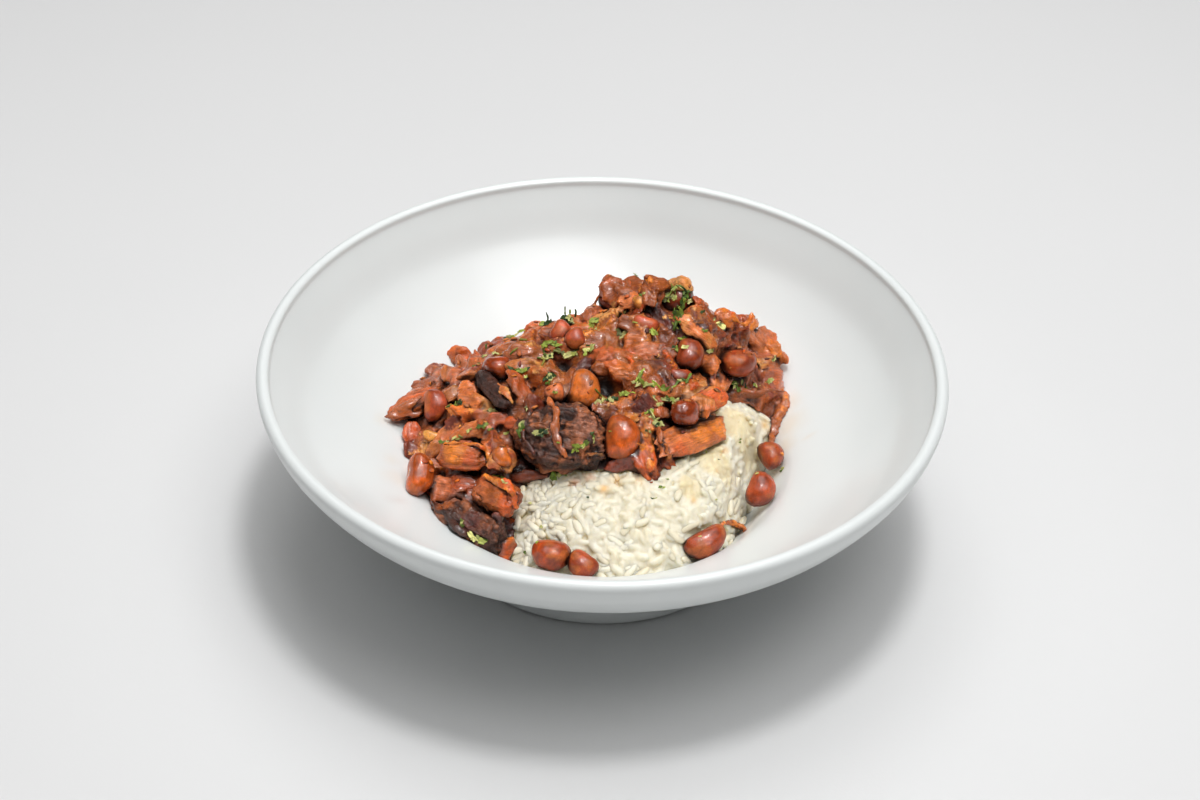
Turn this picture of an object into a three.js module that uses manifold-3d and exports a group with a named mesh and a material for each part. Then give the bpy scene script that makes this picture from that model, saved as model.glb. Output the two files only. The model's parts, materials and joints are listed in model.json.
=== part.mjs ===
// Red beans and rice in a wide white bowl, millimetres, +Z up.
// The origin is the middle of the bowl's foot, on the table; -Y is the diner's side.
// The rice lies in the well and shows at the front right; the bean and meat stew
// covers its back and left, with whole beans and pieces of meat set into it.

import * as THREE from 'three';
import { mergeVertices } from 'three/addons/utils/BufferGeometryUtils.js';
import Module from 'manifold-3d';

const wasm = await Module();
wasm.setup();

// ---------------------------------------------------------------- driving dimensions

const GAP = 0.3; // clearance between neighbouring pieces

const BOWL_SEGMENTS = 50;
const WELL_FLOOR = { radius: 42, height: 9.5 };
const WELL_SHOULDER = { radius: 63.5, height: 29 };
const WALL_RUN = 47; // from the shoulder out to the lip
const WALL_SLOPE = 0.57; // rise per mm of the flat lower wall
const WALL_LIFT = 14.7; // extra rise where the wall turns up under the lip
const WALL_TURN = 5.3; // how late that turn comes
// Radii where the inner profile has a corner, in the curved well and on the wall.
const WELL_STEPS = [49, 55.5];
const WALL_STEPS = [86, 99, 106];
const SHOULDER_ROUND = 3; // how far the shoulder's rounding reaches
// The middle of the rounded lip; over it the bowl is 230 mm wide and 71 mm high.
const LIP = { radius: 112.7, height: 68.6, halfWidth: 2.3, halfHeight: 2.4 };
const LIP_STEPS = 4;
const FOOT = { outer: 57.2, inner: 52, height: 13, waist: 56.3, chamfer: 1.4, recess: 4 };
const OUTER_WALL = [[113.2, 62.5], [107.5, 54], [98, 45], [83, 33.5], [70, 24]];
const OUTER_WALL_START = [57.8, 14];

const RICE_CENTRE = { x: 12, y: 2 };
const RICE_TOP = 43; // flat under the stew
const RICE_CROWN = 46; // height that its slopes aim at
const RICE_FALL = 21;
const RICE_REACH = 62;
const RICE_CURVE = 2.3;
const RICE_EDGE_HEIGHT = 20;
const RICE_EDGE_SLOPE = 3;
const RICE_OUTLINE = [
  [-30, -53], [-12, -62], [10, -63], [28, -56], [40, -44], [47, -26], [52, -8],
  [58, 6], [65, 22], [60, 34], [30, 50], [-20, 45], [-50, 20], [-50, -20],
];
// The rice's surface where it shows: lifted, and bumpy on the scale of its grains.
const RICE_RELIEF = { lift: 0.6, height: 0.9, wave: 3.4 };
const RICE_HIDDEN_DROP = 12; // how far that surface dives under the stew
const RICE_HIDDEN_FADE = 4; // and over what width it does so
const RICE_AREA = { left: -66, right: 66, front: -66, back: 66, cell: 9 };
const OPEN_RICE_AREA = { left: -32, right: 66, front: -66, back: 27, cell: 3.3 };
const GRAINS = {
  length: 6.4, width: 2.2, vary: 0.3, tilt: 30, proud: 0.35, count: 20, spacing: 8, seed: 11,
};

const STEW_CENTRE = { x: 2, y: 18 };
const STEW_TOP = 60;
const STEW_FALL = 26;
const STEW_REACH = { side: 72, front: 70, back: 50 };
const STEW_CURVE = 2.2;
const STEW_EDGE_SLOPE = 1.6;
const STEW_MOUNDS = [
  { x: 40, y: 33, rise: 8, spread: 14 },
  { x: 8, y: 51, rise: 12, spread: 9 },
  { x: 24, y: 52, rise: 16, spread: 10 },
  { x: 52, y: 42, rise: 9, spread: 9 },
];
const STEW_OUTLINE = [
  [-29, -56], [-26, -44], [-29, -27], [-12, -27], [7, -28], [27, -22], [43, -1],
  [38, 13], [57, 19], [63, 22], [64, 37], [59, 52], [38, 68], [8, 77], [-20, 69],
  [-45, 54], [-62, 36], [-74, 12], [-70, 0], [-66, -20], [-66, -34], [-50, -46],
];
const STEW_CORE_DROP = 2.2; // the core lies this far under the pieces that cover it
const STEW_RELIEF = { height: 1.6, waves: [7, 13], fade: 8 };
const STEW_AREA = { left: -80, right: 70, front: -62, back: 82, cell: 6.6 };

// Pieces scattered over the stew and held by its sauce: full size and how much of it varies,
// how far each stands proud of its level, how many, how far apart, and the seed. A strip's
// length varies down from `longest` times its size.
const STEW_BEANS = {
  size: [13, 10, 8.6], vary: 0.25, proud: 1.5, count: 16, spacing: 12, seed: 23,
};
const SHREDS = {
  size: [17, 4.4, 1.8], longest: 1.2, vary: 0.5, proud: -1.4, count: 10, spacing: 9, seed: 31,
  taper: 0.5, wave: -1.1, curl: 3, fromBeans: 7,
};
const FLAKES = {
  size: [6, 3, 0.8], longest: 1.3, vary: 0.6, proud: 0.9, count: 15, spacing: 8, seed: 47,
  taper: 0.7, wave: 0.3, tilt: 24,
};
// Where scattered pieces may lie: their margins inside an outline and round single pieces.
const SCATTER_AREA = { left: -80, right: 70, front: -65, back: 80 };
const SCATTER_MARGIN = { grains: 3.5, riceEdge: 3, beans: 5, shreds: 7, flakes: 5 };
const SCATTER_ROOM = { grains: 2.5, beans: 1, shreds: 0, flakes: -1 };

// Sides and rings of the rounded pieces.
const FACETS = {
  bean: [8, 6], meat: [8, 7], socket: [7, 5], fused: [7, 5], scattered: [7, 4], grain: [5, 4],
};
// How much wider a piece's socket is: more for beans, whose sockets have flatter facets.
const SOCKET_ROOM = { bean: 0.85, meat: 0.45 };
const RICE_ROOM = 0.45; // between the rice and the stew over it
const BEAN_BEND = 0.16; // a kidney bean's bend, as a part of its width
const MEAT_ROUGHNESS = { bumps: 0.22, wave: 2.6, ridges: 0.06 };
const FUSED_MEAT_SEED = 20;

const WHITE_GLAZE = { color: 0xe9e9e8, roughness: 0.18 };
const COOKED_RICE = { color: 0xece8dc, roughness: 0.55 };
const BEAN_STEW = { color: 0x8a4a34, roughness: 0.42 };
const RED_BEAN = { color: 0x9c3f26, roughness: 0.3 };
const ORANGE_BEAN = { color: 0xb5622f, roughness: 0.3 };
const PALE_BEAN = { color: 0xd29a66, roughness: 0.4 };
const STEWED_MEAT = { color: 0xa0552f, roughness: 0.5 };
const CHARRED_MEAT = { color: 0x33201f, roughness: 0.6 };
const ORANGE_MEAT = { color: 0xc2622b, roughness: 0.4 };

// Beans that lie clear of their neighbours. Each has the place of its middle in plan, how
// far its top stands proud of the heap (or the height of its middle), its heading and
// pitch in degrees, and its length, width and height.
const BEANS = [
  { name: 'bean_front', at: [6, -20], proud: 3, turn: [82, 42], size: [15, 12, 10.5],
    look: ORANGE_BEAN },
  { name: 'bean_middle', at: [-7, -2], proud: 3, turn: [75, 40], size: [15, 10.5, 9.5],
    look: ORANGE_BEAN },
  { name: 'bean_glossy', at: [27, -8], proud: 3.5, turn: [90, -30], size: [12, 10, 9.5],
    look: RED_BEAN },
  { name: 'bean_right', at: [47, 25], proud: 3.5, turn: [5, 0], size: [13.5, 10, 9],
    look: RED_BEAN },
  { name: 'bean_dark', at: [29, 18], proud: 3, turn: [80, 20], size: [12, 9.5, 9],
    look: RED_BEAN },
  { name: 'bean_peak', at: [5, 48], proud: 3, turn: [8, 10], size: [15, 11, 10],
    look: RED_BEAN },
  { name: 'bean_crest', at: [25, 46], proud: -0.5, turn: [60, 30], size: [13, 10.5, 10],
    look: RED_BEAN },
  { name: 'bean_shiny', at: [-36, 15], proud: 3, turn: [12, 0], size: [11, 8.5, 8],
    look: RED_BEAN },
  { name: 'bean_left', at: [-58, 7], proud: 3.5, turn: [95, 35], size: [11.5, 9, 8.5],
    look: RED_BEAN },
  { name: 'bean_far_left', at: [-61, -25], height: 36, turn: [78, 32], size: [15.5, 10, 9],
    look: ORANGE_BEAN },
  { name: 'bean_right_upper', at: [58.4, -1.5], height: 30, turn: [115, 20],
    size: [10, 8.5, 8], look: RED_BEAN },
  { name: 'bean_right_lower', at: [54, -19], height: 29.5, turn: [68, 25],
    size: [12.5, 9.5, 9], look: RED_BEAN },
  { name: 'bean_front_right', at: [35, -46.5], height: 29.5, turn: [32, 10],
    size: [16, 9.5, 9], look: RED_BEAN },
  { name: 'bean_front_left', at: [-15, -54], height: 29, turn: [-15, 0],
    size: [13, 10, 9], look: RED_BEAN },
  { name: 'bean_front_left_inner', at: [-4.5, -58], height: 28.6, turn: [-28, -8],
    size: [11, 8.5, 7.5], look: RED_BEAN },
];

// Pieces of meat, laid out as the beans are, with the roll about the long axis third.
// `edge` is how blocky a piece is, `ridges` the number of fibre ridges along it.
const MEATS = [
  { name: 'meat_charred', at: [-13, -18], proud: 3.5, turn: [-12, 0, 38], size: [30, 24, 17],
    edge: 2.6, ridges: 5, look: CHARRED_MEAT },
  { name: 'meat_front_left', at: [-43, -42], proud: 4.5, turn: [-36, 4, 30],
    size: [28, 15, 13], edge: 2.8, ridges: 4, look: CHARRED_MEAT },
  { name: 'meat_slab', at: [-34, -36], proud: 4.5, turn: [-42, 10, 30], size: [20, 12, 8],
    edge: 3.2, ridges: 4, look: STEWED_MEAT },
  { name: 'meat_curl', at: [-46, -20], proud: 4, turn: [-12, 4, 20], size: [18, 11, 8],
    edge: 2.4, ridges: 5, look: ORANGE_MEAT },
  { name: 'meat_flap', at: [30, -13.5], proud: 2, turn: [40, -6, 20], size: [30, 12, 5],
    edge: 3, ridges: 3, look: ORANGE_MEAT },
  { name: 'meat_bark', at: [-37, 2], proud: 3.5, turn: [-62, 6, 0], size: [24, 6, 6],
    edge: 3, ridges: 4, look: CHARRED_MEAT },
  { name: 'meat_wedge', at: [-65, 13], height: 37.5, turn: [36, 8, 0], size: [24, 10, 6.5],
    edge: 2.2, ridges: 4, look: STEWED_MEAT },
  { name: 'meat_crumb', at: [36, 1], proud: 3.5, turn: [30, 10, 0], size: [13, 11, 9],
    edge: 2.4, ridges: 4, look: STEWED_MEAT },
];

// Beans and pieces of meat that the sauce holds to the rest of the stew.
const FUSED_BEANS = [
  { at: [-17, -6], proud: 2.5, turn: [30, 0], size: [9, 7.5, 7] },
  { at: [13, 31], proud: 2.5, turn: [-10, 0], size: [12.5, 9, 8.5] },
  { at: [-17, 30], proud: 3, turn: [100, 20], size: [10, 8.5, 8] },
  { at: [-7, 26], proud: 3, turn: [80, 25], size: [11, 8.8, 8.2] },
  { at: [-33, -22], proud: 3.5, turn: [70, 20], size: [9.5, 7.5, 7] },
];
const FUSED_MEATS = [
  { at: [16, -25], proud: 2.6, turn: [-58, -22, 20], size: [13, 7, 5],
    edge: 3.4, ridges: 3 },
  { at: [35, 31], proud: 3, turn: [-28, 5, 0], size: [15, 7, 6],
    edge: 2.8, ridges: 4 },
  { at: [59, 39], proud: 3, turn: [-70, 0, 0], size: [18, 9, 9],
    edge: 2.4, ridges: 4 },
];

// ---------------------------------------------------------------- small mathematics

/** A repeatable stream of numbers from 0 to 1. */
function randomStream(seed) {
  let state = seed >>> 0;
  return () => {
    state = (Math.imul(state, 1664525) + 1013904223) >>> 0;
    return state / 4294967296;
  };
}

/** A fixed value from -1 to 1 at each whole-numbered point. */
function latticeValue(i, j, k) {
  let h = Math.imul(i, 374761393) ^ Math.imul(j, 668265263) ^ Math.imul(k, 2147483647);
  h = Math.imul(h ^ (h >>> 13), 1274126177);
  return ((h ^ (h >>> 16)) >>> 0) / 2147483648 - 1;
}

/** Smooth noise from -1 to 1 whose features are about one unit wide. */
function noise(x, y, z) {
  const cell = [x, y, z].map(Math.floor);
  const part = [x - cell[0], y - cell[1], z - cell[2]].map((t) => t * t * (3 - 2 * t));
  let sum = 0;
  for (let corner = 0; corner < 8; corner += 1) {
    const step = [corner & 1, (corner >> 1) & 1, (corner >> 2) & 1];
    const weight = step.reduce((w, s, a) => w * (s ? part[a] : 1 - part[a]), 1);
    sum += weight * latticeValue(cell[0] + step[0], cell[1] + step[1], cell[2] + step[2]);
  }
  return sum;
}

/** Distance from a point to a closed outline, positive inside it. */
function insideBy(x, y, outline) {
  let nearest = Infinity;
  let inside = false;
  outline.forEach(([ax, ay], index) => {
    const [bx, by] = outline[(index + 1) % outline.length];
    const ex = bx - ax;
    const ey = by - ay;
    const along = ((x - ax) * ex + (y - ay) * ey) / (ex * ex + ey * ey);
    const t = THREE.MathUtils.clamp(along, 0, 1);
    nearest = Math.min(nearest, Math.hypot(x - ax - ex * t, y - ay - ey * t));
    if (ay > y !== by > y && x < ax + ((y - ay) * ex) / ey) inside = !inside;
  });
  return inside ? nearest : -nearest;
}

/** The bowl's inner surface: its height at a radius. */
function bowlHeight(radius) {
  if (radius < WELL_SHOULDER.radius) {
    const span = WELL_SHOULDER.radius - WELL_FLOOR.radius;
    const t = Math.max(0, radius - WELL_FLOOR.radius) / span;
    return WELL_FLOOR.height + (WELL_SHOULDER.height - WELL_FLOOR.height) * t * t;
  }
  const run = Math.min(radius - WELL_SHOULDER.radius, WALL_RUN);
  const turn = WALL_LIFT * (run / WALL_RUN) ** WALL_TURN;
  return WELL_SHOULDER.height + WALL_SLOPE * run + turn;
}

/** The rice's upper surface without its grains. */
function riceHeight(x, y) {
  const reach = Math.hypot(x - RICE_CENTRE.x, y - RICE_CENTRE.y) / RICE_REACH;
  const slope = RICE_CROWN - RICE_FALL * reach ** RICE_CURVE;
  const edge = RICE_EDGE_HEIGHT + RICE_EDGE_SLOPE * insideBy(x, y, RICE_OUTLINE);
  return Math.min(RICE_TOP, slope, edge);
}

/** The level that the stew's pieces reach. */
function stewHeight(x, y) {
  const dy = y - STEW_CENTRE.y;
  const depth = dy > 0 ? STEW_REACH.back : STEW_REACH.front;
  const reach = Math.hypot((x - STEW_CENTRE.x) / STEW_REACH.side, dy / depth);
  let dome = STEW_TOP - STEW_FALL * reach ** STEW_CURVE;
  STEW_MOUNDS.forEach((m) => {
    const away = (x - m.x) ** 2 + (y - m.y) ** 2;
    dome += m.rise * Math.exp(-away / (2 * m.spread ** 2));
  });
  const base = Math.max(riceHeight(x, y), bowlHeight(Math.hypot(x, y)));
  return base + Math.min(dome - base, STEW_EDGE_SLOPE * insideBy(x, y, STEW_OUTLINE));
}

// ---------------------------------------------------------------- solids and booleans

/** A manifold solid from a closed geometry. */
function solid(geometry) {
  const bare = geometry.clone();
  bare.deleteAttribute('normal');
  bare.deleteAttribute('uv');
  const merged = mergeVertices(bare, 1e-4);
  return new wasm.Manifold(new wasm.Mesh({
    numProp: 3,
    vertProperties: new Float32Array(merged.attributes.position.array),
    triVerts: new Uint32Array(merged.index.array),
  }));
}

/** The largest closed body of a solid, without scraps and shut-in hollows. */
function largestBody(manifold) {
  return manifold.decompose().reduce((a, b) => (b.volume() > a.volume() ? b : a));
}

/** A named mesh from a manifold solid. */
function meshOf(name, manifold, look) {
  const { vertProperties, triVerts } = largestBody(manifold).getMesh();
  const geometry = new THREE.BufferGeometry();
  geometry.setAttribute('position', new THREE.BufferAttribute(vertProperties, 3));
  geometry.setIndex(new THREE.BufferAttribute(triVerts, 1));
  geometry.computeVertexNormals();
  const material = new THREE.MeshStandardMaterial({ ...look, metalness: 0 });
  const mesh = new THREE.Mesh(geometry, material);
  mesh.name = name;
  return mesh;
}

/** Moves every vertex of a geometry by a function of its own place. */
function reshape(geometry, rule) {
  const position = geometry.attributes.position;
  const p = new THREE.Vector3();
  for (let i = 0; i < position.count; i += 1) {
    rule(p.fromBufferAttribute(position, i));
    position.setXYZ(i, p.x, p.y, p.z);
  }
  return geometry;
}

/** Turns a piece by heading, pitch and roll in degrees and sets its middle at a point. */
function place(geometry, [x, y, z], [heading, pitch, roll = 0]) {
  const rad = THREE.MathUtils.degToRad;
  return geometry
    .rotateX(rad(roll))
    .rotateY(-rad(pitch))
    .rotateZ(rad(heading))
    .translate(x, y, z);
}

// ---------------------------------------------------------------- shapes of the pieces

/** A kidney bean lying along X, its hollow side towards +Y. */
function beanShape([length, width, height], [sides, rings], grow = 0) {
  const ball = new THREE.SphereGeometry(1, sides, rings).rotateZ(Math.PI / 2);
  return reshape(ball, (p) => {
    const bow = BEAN_BEND * width * (p.x * p.x - 0.35);
    p.set(p.x * (length / 2 + grow), p.y * (width / 2 + grow) + bow, p.z * (height / 2 + grow));
  });
}

/** A torn block of meat along X, with ridges of fibre and an uneven outline. */
function meatShape({ size, edge, ridges }, [sides, rings], seed, grow = 0) {
  const [length, width, height] = size;
  const ball = new THREE.SphereGeometry(1, sides, rings).rotateZ(Math.PI / 2);
  return reshape(ball, (p) => {
    const power = Math.abs(p.x) ** edge + Math.abs(p.y) ** edge + Math.abs(p.z) ** edge;
    const around = Math.atan2(p.z, p.y);
    const { bumps, wave, ridges: ridgeHeight } = MEAT_ROUGHNESS;
    const rough = 1 + bumps * noise(wave * p.x + seed, wave * p.y, wave * p.z)
      + ridgeHeight * Math.cos(ridges * around + seed);
    const scale = rough * power ** (-1 / edge);
    p.multiplyScalar(scale);
    p.set(p.x * (length / 2), p.y * (width / 2), p.z * (height / 2));
    const out = p.length();
    p.multiplyScalar((out + grow) / out);
  });
}

/** A flat strip along X that tapers, waves up and down and curls sideways. */
function stripShape([length, width, thickness], steps, taper, wave, curl) {
  const strip = new THREE.BoxGeometry(1, 1, 1, steps, 1, 1);
  return reshape(strip, (p) => {
    const along = 2 * p.x;
    const narrow = 1 - taper * along * along;
    const rise = wave * Math.cos(Math.PI * along * 1.3);
    p.set(p.x * length, p.y * width * narrow + curl * along * along,
      p.z * thickness + rise);
  });
}

/** A closed block under a height function, on a rectangular grid. */
function blockUnder(xs, ys, height) {
  const base = 0;
  const points = [];
  const faces = [];
  const top = (i, j) => 2 * (j * xs.length + i);
  ys.forEach((y) => xs.forEach((x) => {
    points.push(x, y, Math.max(height(x, y), base + 1), x, y, base);
  }));
  for (let j = 0; j + 1 < ys.length; j += 1) {
    for (let i = 0; i + 1 < xs.length; i += 1) {
      const a = top(i, j);
      const b = top(i + 1, j);
      const c = top(i + 1, j + 1);
      const d = top(i, j + 1);
      faces.push(a, b, c, a, c, d, a + 1, c + 1, b + 1, a + 1, d + 1, c + 1);
    }
  }
  const wall = (a, b) => faces.push(a, a + 1, b + 1, a, b + 1, b);
  for (let i = 0; i + 1 < xs.length; i += 1) {
    wall(top(i, 0), top(i + 1, 0));
    wall(top(i + 1, ys.length - 1), top(i, ys.length - 1));
  }
  for (let j = 0; j + 1 < ys.length; j += 1) {
    wall(top(xs.length - 1, j), top(xs.length - 1, j + 1));
    wall(top(0, j + 1), top(0, j));
  }
  const geometry = new THREE.BufferGeometry();
  geometry.setAttribute('position', new THREE.Float32BufferAttribute(points, 3));
  geometry.setIndex(faces);
  return geometry;
}

/** Even grid lines from `start` to `end`, about `step` apart. */
function gridLines(start, end, step) {
  const count = Math.round((end - start) / step);
  return Array.from({ length: count + 1 }, (_, i) => start + ((end - start) * i) / count);
}

/** A closed block under a height function, over a rectangular area. */
function heapOver({ left, right, front, back, cell }, height) {
  return solid(blockUnder(gridLines(left, right, cell), gridLines(front, back, cell), height));
}

// ---------------------------------------------------------------- the bowl

/** The inner profile from the axis out to the lip, moved `inset` into the hollow. */
function innerProfile(inset) {
  const { radius: shoulder } = WELL_SHOULDER;
  const radii = [WELL_FLOOR.radius, ...WELL_STEPS, shoulder - SHOULDER_ROUND,
    shoulder + SHOULDER_ROUND, ...WALL_STEPS, shoulder + WALL_RUN - 0.1];
  const slopeStep = 0.05;
  const profile = radii.map((r) => {
    const rise = bowlHeight(r + slopeStep) - bowlHeight(r - slopeStep);
    const length = Math.hypot(rise, 2 * slopeStep);
    const x = r - (inset * rise) / length;
    const y = bowlHeight(r) + (inset * 2 * slopeStep) / length;
    return new THREE.Vector2(x, y);
  });
  return [new THREE.Vector2(0, WELL_FLOOR.height + inset), ...profile];
}

/** The whole bowl: one turned body with a rounded lip and a foot ring. */
function bowlGeometry() {
  const lip = [];
  for (let i = 0; i <= LIP_STEPS; i += 1) {
    const angle = Math.PI * (1.05 - (1.15 * i) / LIP_STEPS);
    lip.push(new THREE.Vector2(
      LIP.radius + LIP.halfWidth * Math.cos(angle),
      LIP.height + LIP.halfHeight * Math.sin(angle),
    ));
  }
  const foot = [
    [FOOT.waist, FOOT.height],
    [FOOT.outer, FOOT.chamfer],
    [FOOT.outer - FOOT.chamfer, 0],
    [FOOT.inner, 0],
    [FOOT.inner - FOOT.chamfer, FOOT.recess],
    [0, FOOT.recess],
  ];
  const under = [...OUTER_WALL, OUTER_WALL_START, ...foot];
  const outside = under.map(([r, z]) => new THREE.Vector2(r, z));
  const profile = [...innerProfile(0).slice(0, -1), ...lip, ...outside].reverse();
  return new THREE.LatheGeometry(profile, BOWL_SEGMENTS).rotateX(Math.PI / 2);
}

/** The space inside the bowl that the food may fill, a gap clear of its wall. */
function innerSpace() {
  const inside = innerProfile(GAP);
  const brim = inside[inside.length - 1];
  const lid = 90;
  const profile = [...inside, new THREE.Vector2(brim.x, lid), new THREE.Vector2(0, lid)];
  return solid(new THREE.LatheGeometry(profile, BOWL_SEGMENTS / 2).rotateX(Math.PI / 2));
}

// ---------------------------------------------------------------- pieces of their own

/** The height of a piece's middle, from its own height or from the heap's level. */
function middleOf(piece) {
  const [x, y] = piece.at;
  return piece.height ?? stewHeight(x, y) + piece.proud - piece.size[2] / 2;
}

/** Each single bean and piece of meat, with the socket that it takes from the heap. */
function singlePieces(space) {
  const made = [];
  const add = (piece, shape, socket) => {
    const centre = [...piece.at, middleOf(piece)];
    let body = solid(place(shape, centre, piece.turn)).intersect(space);
    made.forEach((other) => {
      body = body.subtract(other.socket);
    });
    const room = solid(place(socket, centre, piece.turn));
    made.push({ name: piece.name, look: piece.look, body: largestBody(body), socket: room });
  };
  BEANS.forEach((bean) => {
    const socket = beanShape(bean.size, FACETS.socket, SOCKET_ROOM.bean);
    add(bean, beanShape(bean.size, FACETS.bean), socket);
  });
  MEATS.forEach((meat, index) => {
    const shape = (grow) => meatShape(meat, FACETS.meat, index, grow);
    add(meat, shape(0), shape(SOCKET_ROOM.meat));
  });
  return made;
}

/** Whether a point in plan is clear of every piece of a known place by `room`. */
function clearOfSingles(x, y, room) {
  return [...BEANS, ...MEATS, ...FUSED_BEANS, ...FUSED_MEATS].every(({ at, size }) => {
    const reach = (size[0] + size[1]) / 4;
    return Math.hypot(x - at[0], y - at[1]) > reach + room;
  });
}

/** Places in plan, spread evenly by a seeded rule over where `allowed` says. */
function spread({ count, spacing, seed }, allowed) {
  const random = randomStream(seed);
  const { left, right, front, back } = SCATTER_AREA;
  const places = [];
  const tries = 6000;
  for (let n = 0; n < tries && places.length < count; n += 1) {
    const x = left + (right - left) * random();
    const y = front + (back - front) * random();
    const near = places.some((q) => Math.hypot(q.x - x, q.y - y) < spacing);
    if (!near && allowed(x, y)) places.push({ x, y, random });
  }
  return places;
}

/** Heading, pitch and roll that lay a piece along a surface at a point. */
function layAlong(height, x, y, heading) {
  const step = 2;
  const dx = (height(x + step, y) - height(x - step, y)) / (2 * step);
  const dy = (height(x, y + step) - height(x, y - step)) / (2 * step);
  const rad = THREE.MathUtils.degToRad(heading);
  const along = dx * Math.cos(rad) + dy * Math.sin(rad);
  const across = -dx * Math.sin(rad) + dy * Math.cos(rad);
  const deg = THREE.MathUtils.radToDeg;
  return [heading, deg(Math.atan(along)), deg(Math.atan(across))];
}

// ---------------------------------------------------------------- the rice

/** How much the rice is in the open: 1 where it shows and 0 under the stew. */
function riceOpen(x, y) {
  return THREE.MathUtils.clamp((1 - insideBy(x, y, STEW_OUTLINE)) / RICE_HIDDEN_FADE, 0, 1);
}

/** The open rice's surface with bumps of the size of its grains; none under the stew. */
function riceRelief(x, y) {
  const { lift, height, wave } = RICE_RELIEF;
  const bump = height * noise(x / wave, y / wave, 5);
  return riceHeight(x, y) + lift + bump - RICE_HIDDEN_DROP * (1 - riceOpen(x, y));
}

/** The bed of rice without its grains, lifted by `lift`. */
function riceBed(lift) {
  const bed = heapOver(RICE_AREA, (x, y) => riceHeight(x, y) + lift);
  const open = heapOver(OPEN_RICE_AREA, (x, y) => riceRelief(x, y) + lift);
  return bed.add(open);
}

/** The heap of rice with its showing grains. */
function riceSolid(space, singles) {
  const pieces = [riceBed(0)];
  const showing = (x, y) => insideBy(x, y, STEW_OUTLINE) < -SCATTER_MARGIN.grains
    && insideBy(x, y, RICE_OUTLINE) > SCATTER_MARGIN.riceEdge
    && clearOfSingles(x, y, SCATTER_ROOM.grains);
  spread(GRAINS, showing).forEach(({ x, y, random }) => {
    const { length, width, vary, tilt, proud } = GRAINS;
    const size = [length * (1 + vary * (random() - 0.5)), width, width];
    const turn = layAlong(riceHeight, x, y, 360 * random());
    turn[1] += tilt * (random() - 0.5);
    const grain = beanShape(size, FACETS.grain);
    pieces.push(solid(place(grain, [x, y, riceRelief(x, y) + proud], turn)));
  });
  let rice = wasm.Manifold.union(pieces).intersect(space);
  singles.forEach(({ socket }) => {
    rice = rice.subtract(socket);
  });
  return rice;
}

// ---------------------------------------------------------------- the stew

/** The stew's core: uneven, and lower than the pieces that cover it. */
function stewCore(x, y) {
  const { height, waves, fade } = STEW_RELIEF;
  const inner = THREE.MathUtils.clamp(insideBy(x, y, STEW_OUTLINE) / fade, 0, 1);
  const relief = waves.reduce((sum, w, k) => sum + height * noise(x / w, y / w, k + 1), 0);
  return stewHeight(x, y) + inner * (relief - STEW_CORE_DROP);
}

/** A scattered piece's size, between its full size and the smallest that it varies to. */
function variedSize({ size, vary }, random) {
  const scale = 1 - vary * random();
  return size.map((s) => s * scale);
}

/** The beans, shreds and herb flakes scattered over the stew. */
function scatteredPieces() {
  const pieces = [];
  const within = (margin, room) => (x, y) => insideBy(x, y, STEW_OUTLINE) > margin
    && clearOfSingles(x, y, room);
  const beans = spread(STEW_BEANS, within(SCATTER_MARGIN.beans, SCATTER_ROOM.beans));
  beans.forEach(({ x, y, random }) => {
    const size = variedSize(STEW_BEANS, random);
    const turn = layAlong(stewHeight, x, y, 360 * random());
    const z = stewHeight(x, y) + STEW_BEANS.proud - size[2] / 2;
    pieces.push(solid(place(beanShape(size, FACETS.scattered), [x, y, z], turn)));
  });
  const inStew = within(SCATTER_MARGIN.shreds, SCATTER_ROOM.shreds);
  const clearOfBeans = (x, y) => beans
    .every((b) => Math.hypot(b.x - x, b.y - y) > SHREDS.fromBeans);
  spread(SHREDS, (x, y) => inStew(x, y) && clearOfBeans(x, y)).forEach(({ x, y, random }) => {
    const turn = layAlong(stewHeight, x, y, 360 * random());
    const [length, width, thickness] = SHREDS.size;
    const size = [length * (SHREDS.longest - SHREDS.vary * random()), width, thickness];
    const strip = stripShape(size, 4, SHREDS.taper, SHREDS.wave, SHREDS.curl * (random() - 0.5));
    pieces.push(solid(place(strip, [x, y, stewHeight(x, y) + SHREDS.proud], turn)));
  });
  const leafy = within(SCATTER_MARGIN.flakes, SCATTER_ROOM.flakes);
  spread(FLAKES, leafy).forEach(({ x, y, random }) => {
    const turn = layAlong(stewHeight, x, y, 360 * random());
    turn[1] += FLAKES.tilt;
    const [length, width, thickness] = FLAKES.size;
    const size = [length * (FLAKES.longest - FLAKES.vary * random()), width, thickness];
    const leaf = stripShape(size, 2, FLAKES.taper, FLAKES.wave, 0);
    pieces.push(solid(place(leaf, [x, y, stewCore(x, y) + FLAKES.proud], turn)));
  });
  return pieces;
}

/** The stew: its core with the pieces that show fused on, over the rice. */
function stewSolid(space, singles) {
  const pieces = [heapOver(STEW_AREA, stewCore)];
  FUSED_BEANS.forEach((bean) => {
    const shape = beanShape(bean.size, FACETS.fused);
    pieces.push(solid(place(shape, [...bean.at, middleOf(bean)], bean.turn)));
  });
  FUSED_MEATS.forEach((meat, index) => {
    const shape = meatShape(meat, FACETS.fused, index + FUSED_MEAT_SEED);
    pieces.push(solid(place(shape, [...meat.at, middleOf(meat)], meat.turn)));
  });
  pieces.push(...scatteredPieces());
  let stew = wasm.Manifold.union(pieces).intersect(space).subtract(riceBed(RICE_ROOM));
  singles.forEach(({ socket }) => {
    stew = stew.subtract(socket);
  });
  return stew;
}

// ---------------------------------------------------------------- the whole dish

const dish = new THREE.Group();
const space = innerSpace();
const singles = singlePieces(space);
dish.add(meshOf('bowl', solid(bowlGeometry()), WHITE_GLAZE));
dish.add(meshOf('rice', riceSolid(space, singles), COOKED_RICE));
dish.add(meshOf('bean_stew', stewSolid(space, singles), BEAN_STEW));
singles.forEach(({ name, body, look }) => dish.add(meshOf(name, body, look)));

export default dish;
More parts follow.
